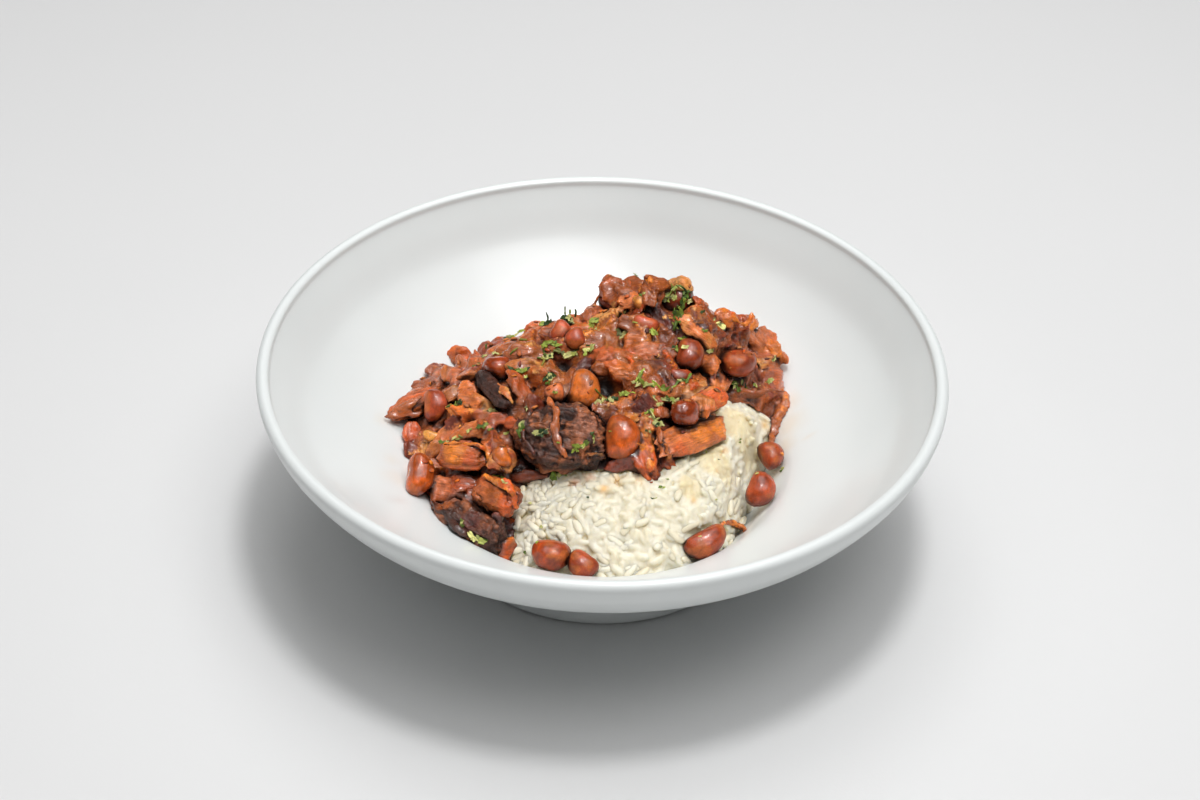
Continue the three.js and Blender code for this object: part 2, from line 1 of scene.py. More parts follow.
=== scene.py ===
import functools
import json
import math

import bpy
import numpy as np
from mathutils import Matrix, Vector
from mathutils.bvhtree import BVHTree
from mathutils.kdtree import KDTree

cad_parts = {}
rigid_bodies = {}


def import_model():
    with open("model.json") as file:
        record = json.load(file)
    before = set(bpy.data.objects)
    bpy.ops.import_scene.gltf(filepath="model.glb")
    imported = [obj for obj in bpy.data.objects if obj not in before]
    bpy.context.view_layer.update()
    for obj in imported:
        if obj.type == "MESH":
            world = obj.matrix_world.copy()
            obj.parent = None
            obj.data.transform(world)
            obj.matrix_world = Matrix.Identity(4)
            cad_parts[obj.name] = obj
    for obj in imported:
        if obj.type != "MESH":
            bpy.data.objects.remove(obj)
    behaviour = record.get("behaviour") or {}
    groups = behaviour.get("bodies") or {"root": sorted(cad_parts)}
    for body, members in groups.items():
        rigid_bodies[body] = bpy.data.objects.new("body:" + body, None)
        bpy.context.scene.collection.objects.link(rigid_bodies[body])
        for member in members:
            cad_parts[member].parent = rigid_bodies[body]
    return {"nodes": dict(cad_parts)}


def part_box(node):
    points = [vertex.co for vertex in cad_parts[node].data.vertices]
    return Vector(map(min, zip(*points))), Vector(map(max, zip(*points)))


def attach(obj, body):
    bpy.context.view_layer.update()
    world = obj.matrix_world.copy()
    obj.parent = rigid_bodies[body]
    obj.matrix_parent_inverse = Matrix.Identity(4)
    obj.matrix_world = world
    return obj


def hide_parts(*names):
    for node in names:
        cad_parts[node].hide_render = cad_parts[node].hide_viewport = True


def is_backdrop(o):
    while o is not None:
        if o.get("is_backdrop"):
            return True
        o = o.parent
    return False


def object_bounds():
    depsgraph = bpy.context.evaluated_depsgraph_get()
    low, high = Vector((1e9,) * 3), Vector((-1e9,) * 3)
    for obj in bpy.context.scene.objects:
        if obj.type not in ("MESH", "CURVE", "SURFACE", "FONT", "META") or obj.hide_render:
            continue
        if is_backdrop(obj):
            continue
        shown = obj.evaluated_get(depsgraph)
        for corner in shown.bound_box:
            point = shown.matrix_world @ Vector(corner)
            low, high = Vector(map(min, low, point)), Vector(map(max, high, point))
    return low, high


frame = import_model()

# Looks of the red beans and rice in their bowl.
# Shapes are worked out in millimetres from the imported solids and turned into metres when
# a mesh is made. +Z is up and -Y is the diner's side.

CAD_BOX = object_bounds()
MM = 0.001

# ---------------------------------------------------------------- places and sizes

PICTURE = (1200, 800)  # the photograph's width and height
CAMERA = {
    "place": (0.0, -540.2, 464.3), "target": (0.0, 0.0, 45.0), "lens": 60.0, "sensor": 36.0,
    "roll": 1.67, "shift": (-1.47 / PICTURE[0], 14.04 / PICTURE[0]),
}
FOCAL = PICTURE[0] * CAMERA["lens"] / CAMERA["sensor"]  # in the picture's own points

HEAP_AREA = (-82.0, 74.0, -66.0, 84.0)  # left, right, front and back of what the food covers
CELL = 0.75  # grid of the heap's surfaces
OVERHEAD = 200.0  # a height above everything
BOWL_SEGMENTS = 288

# Rice: a grain's size, its height for its width, how blunt and how tipped it is, and the
# number of grains sunk into the core and laid on it.
GRAIN = {"length": 6.6, "width": 2.5, "flat": 0.86, "blunt": 2.7, "tip": 0.17,
         "sunk": 620, "loose": 1300}
WALL_GAP = 0.05  # how close food comes to the bowl
SMOOTHING = 0.6  # how strongly a rebuilt mesh is smoothed in each round
RICE_DROP = 0.85  # how far the rice's core lies under its node's surface
RICE_VOXEL = 0.38
CORE_DROP = 1.4  # how far the stew's block lies under its lumps
HOLLOW_DEPTH = 6.5
HOLLOW_PUSH = 5.0  # how much further the finished stew is pushed in at a hollow
LUMP_TILT = 0.2  # how far lumps tip, in radians
STEW_VOXEL = 0.62
MEAT_VOXEL = 0.42
# The rays below find the food's crevices for its painted shade.
CLOSE_RAYS = 7  # rays that find the food's crevices: number, reach, start and spread
CLOSE_REACH = 6.0
CLOSE_LIFT = 0.25
CLOSE_SPREAD = 0.95
MOST_TRIANGLES = 185000  # of one piece
CRUMBS = 170
LEAP = 3.5  # the step back at which a strand ends, in millimetres
TRAIL_LEAP = 20.0  # the same for sauce on the bowl's wall

# What is scattered over the stew: spacing in millimetres and tries, then the distances kept
# from the dark hollows and, where the picture shows the place or not, from its own lumps,
# then the smallest and largest sizes.
LUMP_FILL, LUMP_GAPS = (5.2, 14000), (7, (7.0, 3.5))
LUMP_SIZE = (8, 6, 3), (15, 9.5, 5)
SHRED_FILL, SHRED_GAPS = (7.5, 9000), (6, (4.5, 0.0))
SHRED_SIZE = (7, 1.1), (15, 1.9)
BEAN_FILL = (12.0, 4000)
BEAN_SIZE = np.array([13.0, 9.4, 8.2])
LEAF_FILL = (4.6, 6000)
LEAF_LENGTH = (1.6, 4.4)
CRUMB_LENGTH = (0.8, 2.6)
SEEDS = {"rays": 2, "rice": 5, "beans": 23, "lumps": 29, "crumbs": 31, "shreds": 37, "leaves": 41}

# ---------------------------------------------------------------- colours


def srgb(red, green, blue):
    """A colour given as 0 to 255 on a screen, as linear light."""
    value = np.array([red, green, blue], float) / 255
    return np.where(value > 0.04045, ((value + 0.055) / 1.055) ** 2.4, value / 12.92)


ORANGE_SKIN = srgb(208, 90, 30)
AMBER = srgb(238, 138, 46)
PULP = srgb(208, 114, 60)
PEACH = srgb(240, 168, 98)
TAN = srgb(190, 114, 60)
CRUST = srgb(174, 90, 38)
SAUCE = srgb(166, 88, 44)
PINK_SAUCE = srgb(188, 102, 62)
ROSE = srgb(182, 88, 52)
RED_BROWN = srgb(140, 58, 34)
PLUM = srgb(92, 46, 42)
BARK = srgb(70, 38, 28)
# Near-black: painted shade in crevices, hollows and crag valleys, a painted shadow strip, and the
# dark of charred bark.
CHAR_AND_SHADE_BLACK = srgb(34, 15, 11)
FLESH = srgb(178, 116, 96)
SINEW = srgb(142, 82, 52)
BEAN_HERO = srgb(180, 82, 32)
BEAN_ORANGE = srgb(192, 102, 46)
BEAN_RED = srgb(156, 64, 30)
BEAN_PINK = srgb(164, 72, 46)
BEAN_DARK = srgb(140, 58, 30)
BEAN_PALE = srgb(232, 160, 76)
HILUM = srgb(222, 170, 116)
# Painted shade: a bean's underside and sides are made darker and redder by this, and its top a
# little lighter.
BEAN_UNDERSIDE_SHADE = np.array([0.62, 0.46, 0.4])  # how much darker and redder a bean's sides are
LEAF_DARK = srgb(44, 66, 26)
LEAF = srgb(90, 112, 36)
LEAF_BRIGHT = srgb(146, 160, 60)
LEAF_PALE = srgb(202, 198, 124)
STEM = srgb(150, 142, 62)
WARM = np.array([0.95, 0.91, 0.76])  # takes the lamps' cool gloss out of the food
RICE = srgb(230, 224, 204)
RICE_SHADE = srgb(206, 186, 140)
# Painted shade: how much darker and warmer the rice is in its crevices.
RICE_CREVICE_SHADE = np.array([0.94, 0.88, 0.72])
RICE_CREAM = srgb(228, 212, 170)
OIL = srgb(228, 178, 92)
TURMERIC = srgb(228, 166, 48)
SHRED_COLOURS = [PULP, PEACH, TAN, ORANGE_SKIN, CRUST, RED_BROWN, SAUCE, AMBER]

# The stew's own colour changes over the dish: place, reach and colour of each part.
ZONES = [
    (-58, 8, 14, PINK_SAUCE), (-44, -8, 12, PULP), (-48, -22, 10, ORANGE_SKIN),
    (-42, -42, 12, PLUM), (-30, 8, 12, SAUCE), (-12, -20, 13, PLUM), (-34, 28, 14, CRUST),
    (-8, 8, 13, SAUCE), (-12, 32, 14, PINK_SAUCE), (8, 14, 10, TAN), (10, 30, 11, SAUCE),
    (22, 26, 9, PLUM), (18, -14, 10, RED_BROWN), (32, -2, 10, TAN), (32, -16, 10, ORANGE_SKIN),
    (36, 22, 10, CRUST), (50, 22, 10, SAUCE), (58, 38, 12, ORANGE_SKIN), (8, 50, 12, RED_BROWN),
    (28, 50, 12, CRUST), (-30, 50, 16, SAUCE), (10, 66, 16, CRUST), (44, 56, 14, CRUST),
]

# Torn pieces of meat and pulp that the stew shows. Each has the point of the picture where
# its middle is seen, how long and wide it looks there, the angle at which it lies (0 is to
# the right, 90 is up), its two colours, and how far it stands proud in millimetres.
# Lumps with the near-black as second colour are partly painted shade in the gaps.
LUMPS = [
    # the left, from the back to the front
    (460, 357, 19, 11, 5, CRUST, ORANGE_SKIN, 2.6), (448, 377, 14, 9, 80, CRUST, AMBER, 3),
    (458, 380, 15, 14, 0, PINK_SAUCE, PLUM, 2.2), (465, 368, 18, 12, -60, PINK_SAUCE, SAUCE, 1.8),
    (452, 393, 18, 10, 25, TAN, PEACH, 2.2), (466, 390, 17, 10, 15, PULP, RED_BROWN, 1.8),
    (500, 344, 15, 13, 10, ORANGE_SKIN, RED_BROWN, 3), (486, 351, 13, 9, 15, PLUM, ROSE, 2.4),
    (508, 351, 20, 12, 30, SAUCE, TAN, 2), (524, 354, 27, 19, 5, PINK_SAUCE, TAN, 2.6),
    (535, 331, 15, 11, 20, CRUST, ORANGE_SKIN, 2.2), (546, 334, 12, 12, 0, PINK_SAUCE, PLUM, 1.8),
    (518, 388, 30, 17, -52, CRUST, ORANGE_SKIN, 2.8), (537, 377, 20, 14, -20, CRUST, PULP, 2.6),
    (536, 409, 19, 17, -60, RED_BROWN, SAUCE, 3), (520, 367, 22, 12, 5, TAN, SAUCE, 1.8),
    (470, 400, 19, 13, -10, PULP, PEACH, 3), (484, 405, 22, 15, -35, PEACH, PULP, 3),
    (458, 411, 22, 7, 0, AMBER, ORANGE_SKIN, 2.6), (478, 417, 26, 11, 12, PULP, ORANGE_SKIN, 2.2),
    (497, 421, 18, 11, 8, ROSE, PULP, 3), (510, 424, 15, 11, 0, ROSE, ORANGE_SKIN, 2.4),
    (456, 422, 20, 8, 8, RED_BROWN, PLUM, 1.4), (449, 431, 24, 12, 38, PINK_SAUCE, TAN, 2.4),
    (468, 432, 28, 11, 18, PULP, TAN, 2.6), (487, 434, 20, 9, -15, PULP, ORANGE_SKIN, 2),
    (410, 433, 17, 12, 82, RED_BROWN, ORANGE_SKIN, 2.4),
    (409, 449, 14, 11, 80, RED_BROWN, PLUM, 2),
    (404, 455, 8, 5, 20, RED_BROWN, PLUM, 2), (438, 447, 16, 9, 45, TAN, SAUCE, 2.2),
    (405, 494, 20, 7, -14, CRUST, RED_BROWN, 0.8), (441, 489, 22, 19, -12, PINK_SAUCE, SAUCE, 2.2),
    (461, 487, 10, 6, 0, ORANGE_SKIN, ROSE, 2.6), (498, 521, 12, 14, 0, PLUM, TAN, 1.4),
    (507, 546, 18, 19, 0, ORANGE_SKIN, AMBER, 2), (531, 473, 42, 9, 0, ROSE, SAUCE, 1.4),
    (516, 518, 8, 6, 0, ORANGE_SKIN, AMBER, 1.4),
    # the peak and the back edge
    (612, 291, 20, 18, 30, SAUCE, ROSE, 3), (630, 289, 24, 14, 10, SAUCE, RED_BROWN, 3),
    (630, 303, 17, 11, 15, PULP, SAUCE, 2.4),
    (649, 294, 26, 14, 86, CRUST, PULP, 2.6), (657, 284, 21, 11, -5, CRUST, PLUM, 2.4),
    (657, 298, 16, 12, 60, PLUM, SAUCE, 1.6), (671, 291, 17, 11, 40, PEACH, PULP, 2.6),
    (683, 288, 15, 10, -20, PEACH, CRUST, 2.6),
    (609, 326, 28, 18, 90, CRUST, TAN, 2.6), (663, 326, 32, 20, -62, PLUM, RED_BROWN, 2),
    (672, 318, 14, 10, 70, PLUM, SAUCE, 1.2), (697, 317, 20, 14, 0, TAN, PULP, 2.4),
    (694, 331, 37, 14, -31, PULP, PEACH, 2.4), (707, 325, 16, 10, 0, PLUM, CHAR_AND_SHADE_BLACK, 1),
    (716, 334, 17, 10, 10, ROSE, PLUM, 1.8), (723, 320, 14, 11, 10, CRUST, AMBER, 2.8),
    (736, 324, 14, 11, -8, ORANGE_SKIN, CRUST, 3), (747, 327, 12, 12, 60, AMBER, CRUST, 2.8),
    (740, 336, 26, 11, -20, PULP, AMBER, 2.6), (757, 345, 24, 10, -28, PULP, PEACH, 2.4),
    (764, 340, 22, 19, -60, SAUCE, PULP, 2.8), (773, 350, 15, 8, -70, AMBER, PULP, 2.8),
    (763, 358, 18, 12, -20, PINK_SAUCE, PLUM, 2.4), (777, 361, 11, 14, 90, CRUST, ORANGE_SKIN, 2.4),
    (770, 379, 29, 27, 0, CRUST, PULP, 3), (725, 380, 14, 14, 0, PINK_SAUCE, PLUM, 2),
    (717, 385, 15, 15, 90, PULP, TAN, 2.4), (741, 393, 56, 8, 4, CRUST, ORANGE_SKIN, 1.2),
    (778, 397, 13, 9, 90, CRUST, AMBER, 2),
    # the middle
    (600, 341, 24, 17, 10, SAUCE, TAN, 2.2), (588, 352, 14, 10, 0, TAN, SAUCE, 1.4),
    (603, 357, 20, 18, 0, ROSE, PINK_SAUCE, 2.8), (600, 371, 14, 9, 0, CRUST, PULP, 2.4),
    (634, 347, 23, 20, 0, CRUST, PULP, 3), (620, 369, 22, 20, 0, PULP, ORANGE_SKIN, 3),
    (640, 377, 30, 23, -20, SAUCE, PULP, 3), (647, 353, 24, 14, 10, PINK_SAUCE, SAUCE, 2),
    (665, 351, 22, 13, -10, SAUCE, PLUM, 1.8), (657, 366, 26, 11, 15, PLUM, SAUCE, 1.6),
    (668, 375, 17, 9, -20, PLUM, CHAR_AND_SHADE_BLACK, 1.2), (707, 345, 18, 15, 60, TAN, PULP, 2.4),
    (708, 361, 18, 17, 0, PULP, TAN, 2.4), (689, 391, 30, 18, 0, TAN, PEACH, 2.8),
    (674, 395, 15, 12, 0, TAN, SAUCE, 2), (664, 414, 10, 17, 85, SAUCE, ROSE, 2.4),
    (636, 399, 20, 11, -15, RED_BROWN, PLUM, 1.8), (626, 404, 10, 13, 90, CRUST, TAN, 1.8),
    (643, 408, 26, 17, -42, PLUM, RED_BROWN, 2.6), (630, 462, 20, 16, 0, RED_BROWN, PLUM, 1.8),
    (617, 468, 17, 12, 20, RED_BROWN, ORANGE_SKIN, 1.8),
    (643, 458, 35, 18, -62, ORANGE_SKIN, CRUST, 2.4),
    (671, 466, 23, 11, -45, ORANGE_SKIN, CRUST, 2.4), (583, 365, 14, 9, 20, PLUM, CHAR_AND_SHADE_BLACK, 0.4),
    (548, 352, 14, 11, 0, TAN, CRUST, 1.6), (702, 405, 17, 22, 85, TAN, ORANGE_SKIN, 1.8),
]

# Strands, skins and torn edges: their path in the picture, their width there, two colours.
STRANDS = [
    ([(494, 381), (503, 390), (511, 401), (516, 412), (517, 420)], 8, PEACH, PULP),
    ([(550, 397), (554, 408), (555, 428), (559, 446), (564, 463)], 9, CRUST, PULP),
    ([(441, 445), (453, 437), (468, 434), (480, 437), (487, 446)], 6, PULP, TAN),
    ([(436, 453), (446, 446), (460, 444), (475, 447), (485, 455), (484, 466)],
     5, AMBER, ORANGE_SKIN),
    ([(484, 437), (493, 441), (500, 448), (507, 459), (503, 471)], 5, CRUST, ORANGE_SKIN),
    ([(484, 477), (497, 482), (508, 490), (514, 500), (518, 511)], 9, ORANGE_SKIN, AMBER),
    ([(469, 480), (474, 490), (482, 502), (490, 513)], 5, TAN, SAUCE),
    ([(638, 417), (641, 427), (643, 438)], 6, PEACH, ROSE),
    ([(648, 419), (655, 428), (659, 438), (660, 449)], 6, SAUCE, CRUST),
    ([(588, 453), (596, 454), (606, 461)], 6, PEACH, TAN),
    ([(713, 369), (710, 382), (706, 395)], 6, PLUM, ROSE),
    ([(717, 322), (728, 317), (737, 323), (746, 322), (751, 315)], 6, AMBER, ORANGE_SKIN),
    ([(733, 331), (746, 336), (758, 343), (769, 351)], 5, PEACH, AMBER),
    ([(636, 442), (643, 450), (650, 461), (653, 472)], 5, AMBER, ORANGE_SKIN),
    ([(664, 446), (668, 456), (674, 466), (680, 470)], 6, CRUST, AMBER),
    ([(521, 421), (526, 440), (534, 456)], 5, PLUM, SAUCE),
    ([(612, 312), (622, 310), (628, 316)], 5, TAN, PEACH),
    ([(383, 418), (398, 412), (424, 399)], 6, CRUST, TAN),
    ([(388, 419), (408, 416), (432, 410)], 7, RED_BROWN, CRUST),
    ([(393, 409), (412, 402), (438, 392)], 5, CRUST, PULP),
]

# Sauce and shreds that have slid down the bowl's wall beside the rice, and one painted shadow.
TRAILS = [
    ([(783, 390), (785, 403), (781, 418), (775, 432), (772, 446)], 13, SAUCE, CRUST),
    ([(786, 396), (785, 410), (780, 425)], 6, AMBER, CRUST),
    # A near-black strip along the bowl: a painted shadow where the front-left meat overhangs it.
    ([(432, 499), (443, 515), (458, 531), (478, 545), (495, 553)], 8, CHAR_AND_SHADE_BLACK, BARK),
    ([(717, 529), (729, 524), (740, 527), (745, 532)], 7, CRUST, AMBER),
    ([(778, 452), (783, 460), (784, 469)], 6, AMBER, ORANGE_SKIN),
]

# Beans held in the sauce: where they are seen, length, width, angle, colour, proud, sauce
# on them and wetness.
HELD_BEANS = [
    (560, 332, 24, 20, 60, BEAN_PINK, 3.0, 0.35, 0.5),
    (576, 339, 22, 21, -70, BEAN_PINK, 3.0, 0.35, 0.5),
    (555, 394, 20, 19, 20, PINK_SAUCE, 4.0, 0.1, 0.4),
    (502, 457, 24, 18, -68, BEAN_ORANGE, 3.4, -0.1, 0.8),
    (433, 437, 21, 11, -18, BEAN_PALE, 2.6, 0.15, 0.6),
    (645, 325, 28, 18, -16, BEAN_PINK, 3.0, 0.3, 0.5),
    (680, 377, 24, 17, -5, BEAN_DARK, 2.8, 0.3, 0.7),
    (640, 303, 13, 17, 20, BEAN_PALE, 3.0, 0.1, 0.6),
    (637, 334, 9, 7, 0, BEAN_RED, 2.6, -0.1, 0.8),
]

# Hollows between the pieces: pushed in, with painted near-black shade.
HOLLOWS = [
    (562, 365, 9), (605, 384, 10), (458, 397, 4), (469, 421, 4), (437, 471, 5), (443, 424, 4),
    (592, 366, 5), (470, 409, 3), (703, 371, 4), (728, 373, 4), (533, 395, 4),
]

# Colour laid over what shows at a point of the picture: reach in millimetres, colour, share.
PATCHES = [
    (585, 426, 4.2, FLESH, 0.8), (573, 440, 3.2, SINEW, 0.6), (600, 442, 3.0, SINEW, 0.6),
    (541, 424, 3.4, SINEW, 0.6), (560, 468, 3.0, SINEW, 0.4), (604, 412, 3.0, SINEW, 0.5),
    (456, 499, 3.6, FLESH, 0.8), (468, 512, 3.0, SINEW, 0.4), (484, 532, 3.4, PLUM, 0.5),
    (446, 505, 3.0, CRUST, 0.7), (456, 453, 4.0, AMBER, 0.7), (470, 458, 3.0, ORANGE_SKIN, 0.6),
    (478, 490, 4.6, PINK_SAUCE, 0.8), (507, 505, 3.8, ORANGE_SKIN, 0.8),
    (700, 432, 5.0, AMBER, 0.6), (719, 427, 4.0, AMBER, 0.7), (680, 452, 4.0, ORANGE_SKIN, 0.7),
    (474, 366, 2.4, SINEW, 0.3), (398, 410, 5.0, CRUST, 0.6), (500, 454, 2.4, BEAN_PALE, 0.85),
    (528, 440, 4.0, BARK, 0.8), (543, 460, 4.0, BARK, 0.8), (576, 464, 4.0, BARK, 0.8),
    (600, 458, 3.0, BARK, 0.6), (470, 521, 4.0, PLUM, 0.8), (454, 512, 3.0, BARK, 0.7),
    (490, 543, 3.0, BARK, 0.7), (583, 372, 2.6, PEACH, 0.4), (652, 400, 1.0, PEACH, 0.2),
]

# Chopped parsley: where it is seen, length, width, angle and colour.
FLAKES = [
    (547, 324, 10, 8, 0, LEAF_DARK), (569, 320, 12, 7, 0, LEAF_DARK), (519, 332, 9, 3, 30, LEAF),
    (509, 338, 10, 5, 10, LEAF_DARK), (551, 344, 16, 6, -5, LEAF), (497, 354, 10, 3, 10, LEAF_PALE),
    (483, 357, 8, 3, 20, LEAF_PALE), (477, 365, 6, 7, 0, LEAF), (515, 370, 11, 5, -10, LEAF),
    (525, 371, 9, 6, 10, LEAF_DARK), (527, 376, 7, 4, 40, LEAF_PALE), (548, 356, 8, 11, 0, LEAF),
    (550, 376, 10, 11, 0, LEAF_DARK), (548, 383, 6, 5, 0, LEAF), (563, 353, 15, 7, -8, LEAF_PALE),
    (576, 355, 16, 7, 4, LEAF_PALE), (588, 350, 12, 5, 40, LEAF_BRIGHT),
    (459, 403, 11, 5, 35, LEAF_DARK), (493, 412, 10, 9, 0, LEAF_PALE),
    (499, 408, 6, 9, 60, LEAF_DARK), (527, 407, 8, 3, 75, LEAF_PALE), (521, 429, 13, 6, 78, LEAF),
    (482, 425, 9, 7, 0, LEAF), (469, 430, 7, 4, 30, LEAF_BRIGHT), (491, 429, 7, 4, 0, LEAF_DARK),
    (541, 434, 13, 10, 10, LEAF_DARK), (506, 434, 6, 5, 0, LEAF_PALE), (444, 442, 9, 5, 10, LEAF),
    (458, 438, 10, 4, 10, STEM), (499, 477, 11, 5, -30, LEAF_BRIGHT),
    (505, 483, 7, 4, -30, LEAF_PALE), (558, 475, 12, 12, 45, LEAF),
    (462, 523, 9, 5, 80, LEAF_BRIGHT), (477, 539, 15, 7, -24, LEAF_PALE), (486, 540, 6, 4, 0, LEAF),
    (581, 446, 14, 6, 18, LEAF_BRIGHT), (575, 450, 6, 6, 0, LEAF_BRIGHT),
    (593, 437, 11, 4, 85, LEAF), (523, 427, 10, 4, 70, LEAF_PALE), (599, 401, 9, 6, -10, LEAF_PALE),
    (613, 399, 9, 8, 0, LEAF_DARK), (626, 395, 12, 6, 0, LEAF_BRIGHT),
    (640, 376, 12, 4, 65, LEAF_BRIGHT), (636, 383, 8, 4, -20, LEAF_PALE),
    (650, 385, 18, 6, -20, LEAF_BRIGHT), (662, 388, 8, 15, 0, LEAF), (683, 381, 16, 5, 22, LEAF),
    (673, 387, 7, 5, 30, LEAF_BRIGHT), (671, 399, 15, 6, -5, LEAF),
    (649, 412, 8, 7, 0, LEAF_BRIGHT), (653, 420, 13, 5, -20, LEAF_PALE),
    (658, 425, 8, 7, 0, LEAF_DARK), (654, 397, 9, 3, -60, LEAF_PALE),
    (659, 406, 6, 6, 0, LEAF_PALE), (648, 432, 6, 4, 0, LEAF_DARK),
    (594, 323, 12, 8, 35, LEAF_BRIGHT), (597, 330, 7, 4, -30, LEAF_PALE),
    (620, 335, 11, 9, -20, LEAF_PALE), (621, 313, 13, 5, -5, STEM),
    (651, 331, 13, 7, -30, LEAF_BRIGHT), (642, 295, 7, 5, 0, LEAF), (635, 323, 5, 3, 0, STEM),
    (675, 349, 6, 8, 0, LEAF_DARK), (685, 347, 6, 6, 0, LEAF_PALE),
    (682, 339, 8, 4, 0, LEAF_BRIGHT), (711, 350, 9, 6, 20, LEAF_PALE), (704, 331, 6, 4, 0, LEAF),
    (718, 324, 12, 8, -50, LEAF_PALE), (703, 312, 6, 4, 30, LEAF_DARK),
    (736, 387, 11, 5, -60, LEAF), (744, 385, 12, 3, -55, LEAF_DARK),
    (756, 386, 9, 4, -20, LEAF_BRIGHT), (769, 382, 9, 6, 20, LEAF_PALE),
    (773, 360, 5, 9, 0, LEAF_PALE), (669, 298, 14, 9, 15, LEAF_PALE),
    (678, 287, 15, 4, 20, LEAF_PALE), (686, 293, 5, 15, 15, LEAF), (689, 300, 9, 7, -30, LEAF_PALE),
    (680, 306, 6, 6, 0, LEAF_BRIGHT), (672, 292, 4, 14, -15, LEAF_DARK),
    (683, 301, 12, 6, 60, LEAF), (678, 315, 8, 14, 5, LEAF), (675, 325, 4, 12, 5, LEAF_BRIGHT),
    (558, 442, 4, 3, 0, LEAF), (610, 432, 3, 2, 0, STEM), (555, 392, 6, 4, 0, STEM),
    (530, 503, 4, 5, 0, LEAF_DARK), (538, 542, 5, 3, 0, LEAF), (525, 554, 3, 5, 0, LEAF),
    (541, 527, 4, 4, 0, LEAF_DARK), (662, 487, 7, 3, 10, LEAF), (653, 498, 8, 4, 15, LEAF),
    (718, 459, 4, 2, 0, LEAF_DARK), (706, 453, 6, 2, -70, STEM), (740, 441, 6, 3, 60, LEAF),
    (668, 480, 3, 2, 0, LEAF_DARK), (716, 500, 3, 2, 0, LEAF), (588, 498, 3, 3, 0, LEAF_DARK),
    (783, 470, 6, 4, 70, LEAF), (757, 474, 4, 3, 0, LEAF), (700, 536, 4, 3, 0, LEAF_DARK),
]
STEMS = [
    ([(519, 340), (534, 341), (549, 342)], 3, STEM),
    ([(445, 408), (452, 405), (460, 402)], 2, LEAF),
    ([(537, 358), (544, 360), (541, 367)], 2, STEM),
    ([(595, 389), (600, 395), (607, 401)], 2, STEM),
    ([(510, 355), (514, 351), (518, 348)], 2, STEM),
    ([(677, 306), (677, 318), (674, 331)], 4, LEAF),
    ([(671, 289), (680, 286), (687, 293), (690, 302)], 2, LEAF_DARK),
    ([(638, 383), (643, 372)], 2, LEAF_BRIGHT), ([(655, 419), (650, 410)], 2, LEAF_PALE),
    ([(586, 346), (595, 345)], 2, LEAF_DARK),
]
# Sprigs that stand up from where their first point is seen.
SPRIGS = [
    ([(546, 324), (548, 318), (546, 312)], 2, LEAF_DARK),
    ([(565, 315), (565, 310), (565, 306)], 2, LEAF_DARK),
    ([(575, 317), (576, 312), (575, 309)], 2, LEAF_DARK), ([(570, 315), (570, 309)], 2, LEAF_PALE),
    ([(691, 300), (691, 294), (690, 288)], 2, LEAF_DARK), ([(486, 349), (486, 344)], 2, PLUM),
]

# Faint oil and sauce on the bowl: where it is seen, reach in millimetres, colour, share.
STAINS = [
    (789, 424, 5.0, OIL, 0.24), (785, 446, 4.0, OIL, 0.22), (779, 470, 3.4, OIL, 0.25),
    (788, 404, 3.6, OIL, 0.25), (396, 478, 4.0, OIL, 0.12), (392, 460, 3.0, OIL, 0.10),
    (446, 526, 0.7, CRUST, 0.35), (737, 535, 2.4, OIL, 0.25), (520, 566, 2.0, CRUST, 0.15),
    (386, 421, 3.0, OIL, 0.12), (808, 437, 1.2, OIL, 0.15), (395, 499, 2.2, CRUST, 0.2),
]
# Where the rice runs together, and sauce that has run down over it, and oil soaked into it.
RICE_SOFT = [
    (738, 425, 12.0, 1.0), (716, 462, 9.0, 1.0), (690, 482, 6.0, 1.0), (650, 500, 16.0, 0.65),
    (690, 520, 12.0, 0.55), (600, 500, 9.0, 0.45), (640, 535, 12.0, 0.35),
]
RICE_STAINS = [
    (604, 488, 1.6, TURMERIC, 0.7), (716, 472, 1.2, TURMERIC, 0.4), (693, 500, 1.3, OIL, 0.6),
    (724, 450, 1.6, OIL, 0.5), (575, 483, 2.0, PULP, 0.5), (590, 478, 1.6, PULP, 0.5),
    (617, 480, 2.4, OIL, 0.5), (640, 478, 2.6, OIL, 0.4), (725, 402, 3.0, OIL, 0.7),
    (750, 398, 3.0, OIL, 0.7), (768, 405, 2.4, OIL, 0.8), (530, 525, 2.0, SINEW, 0.25),
    (545, 550, 2.0, PEACH, 0.5), (765, 425, 2.0, OIL, 0.6),
]

# ---------------------------------------------------------------- small mathematics


def lattice_value(i, j, k):
    """A fixed value from -1 to 1 at each whole-numbered point."""
    h = (i.astype(np.uint32) * np.uint32(374761393)) ^ (j.astype(np.uint32) * np.uint32(668265263))
    h = h ^ (k.astype(np.uint32) * np.uint32(2147483647))
    h = (h ^ (h >> np.uint32(13))) * np.uint32(1274126177)
    return (h ^ (h >> np.uint32(16))).astype(float) / 2147483648 - 1


def noise(points):
    """Smooth noise from -1 to 1 whose features are about one unit wide."""
    points = np.asarray(points, float)
    cell = np.floor(points).astype(np.int64)
    part = points - cell
    part = part * part * (3 - 2 * part)
    total = np.zeros(points.shape[:-1])
    for corner in range(8):
        step = np.array([corner & 1, (corner >> 1) & 1, (corner >> 2) & 1])
        weight = np.prod(np.where(step, part, 1 - part), axis=-1)
        at = cell + step
        total += weight * lattice_value(at[..., 0], at[..., 1], at[..., 2])
    return total


def layered(points, octaves):
    """Noise with finer and finer layers."""
    total = 0
    for level in range(octaves):
        total = total + 0.5 ** level * noise(points * 2.03 ** level + 17.3 * level)
    return total


def across_plan(reach, height):
    """The heap grid's places, `reach` millimetres to a unit, at one height of the noise."""
    return np.dstack([GRID / reach, np.full(GRID.shape[:2], height)])


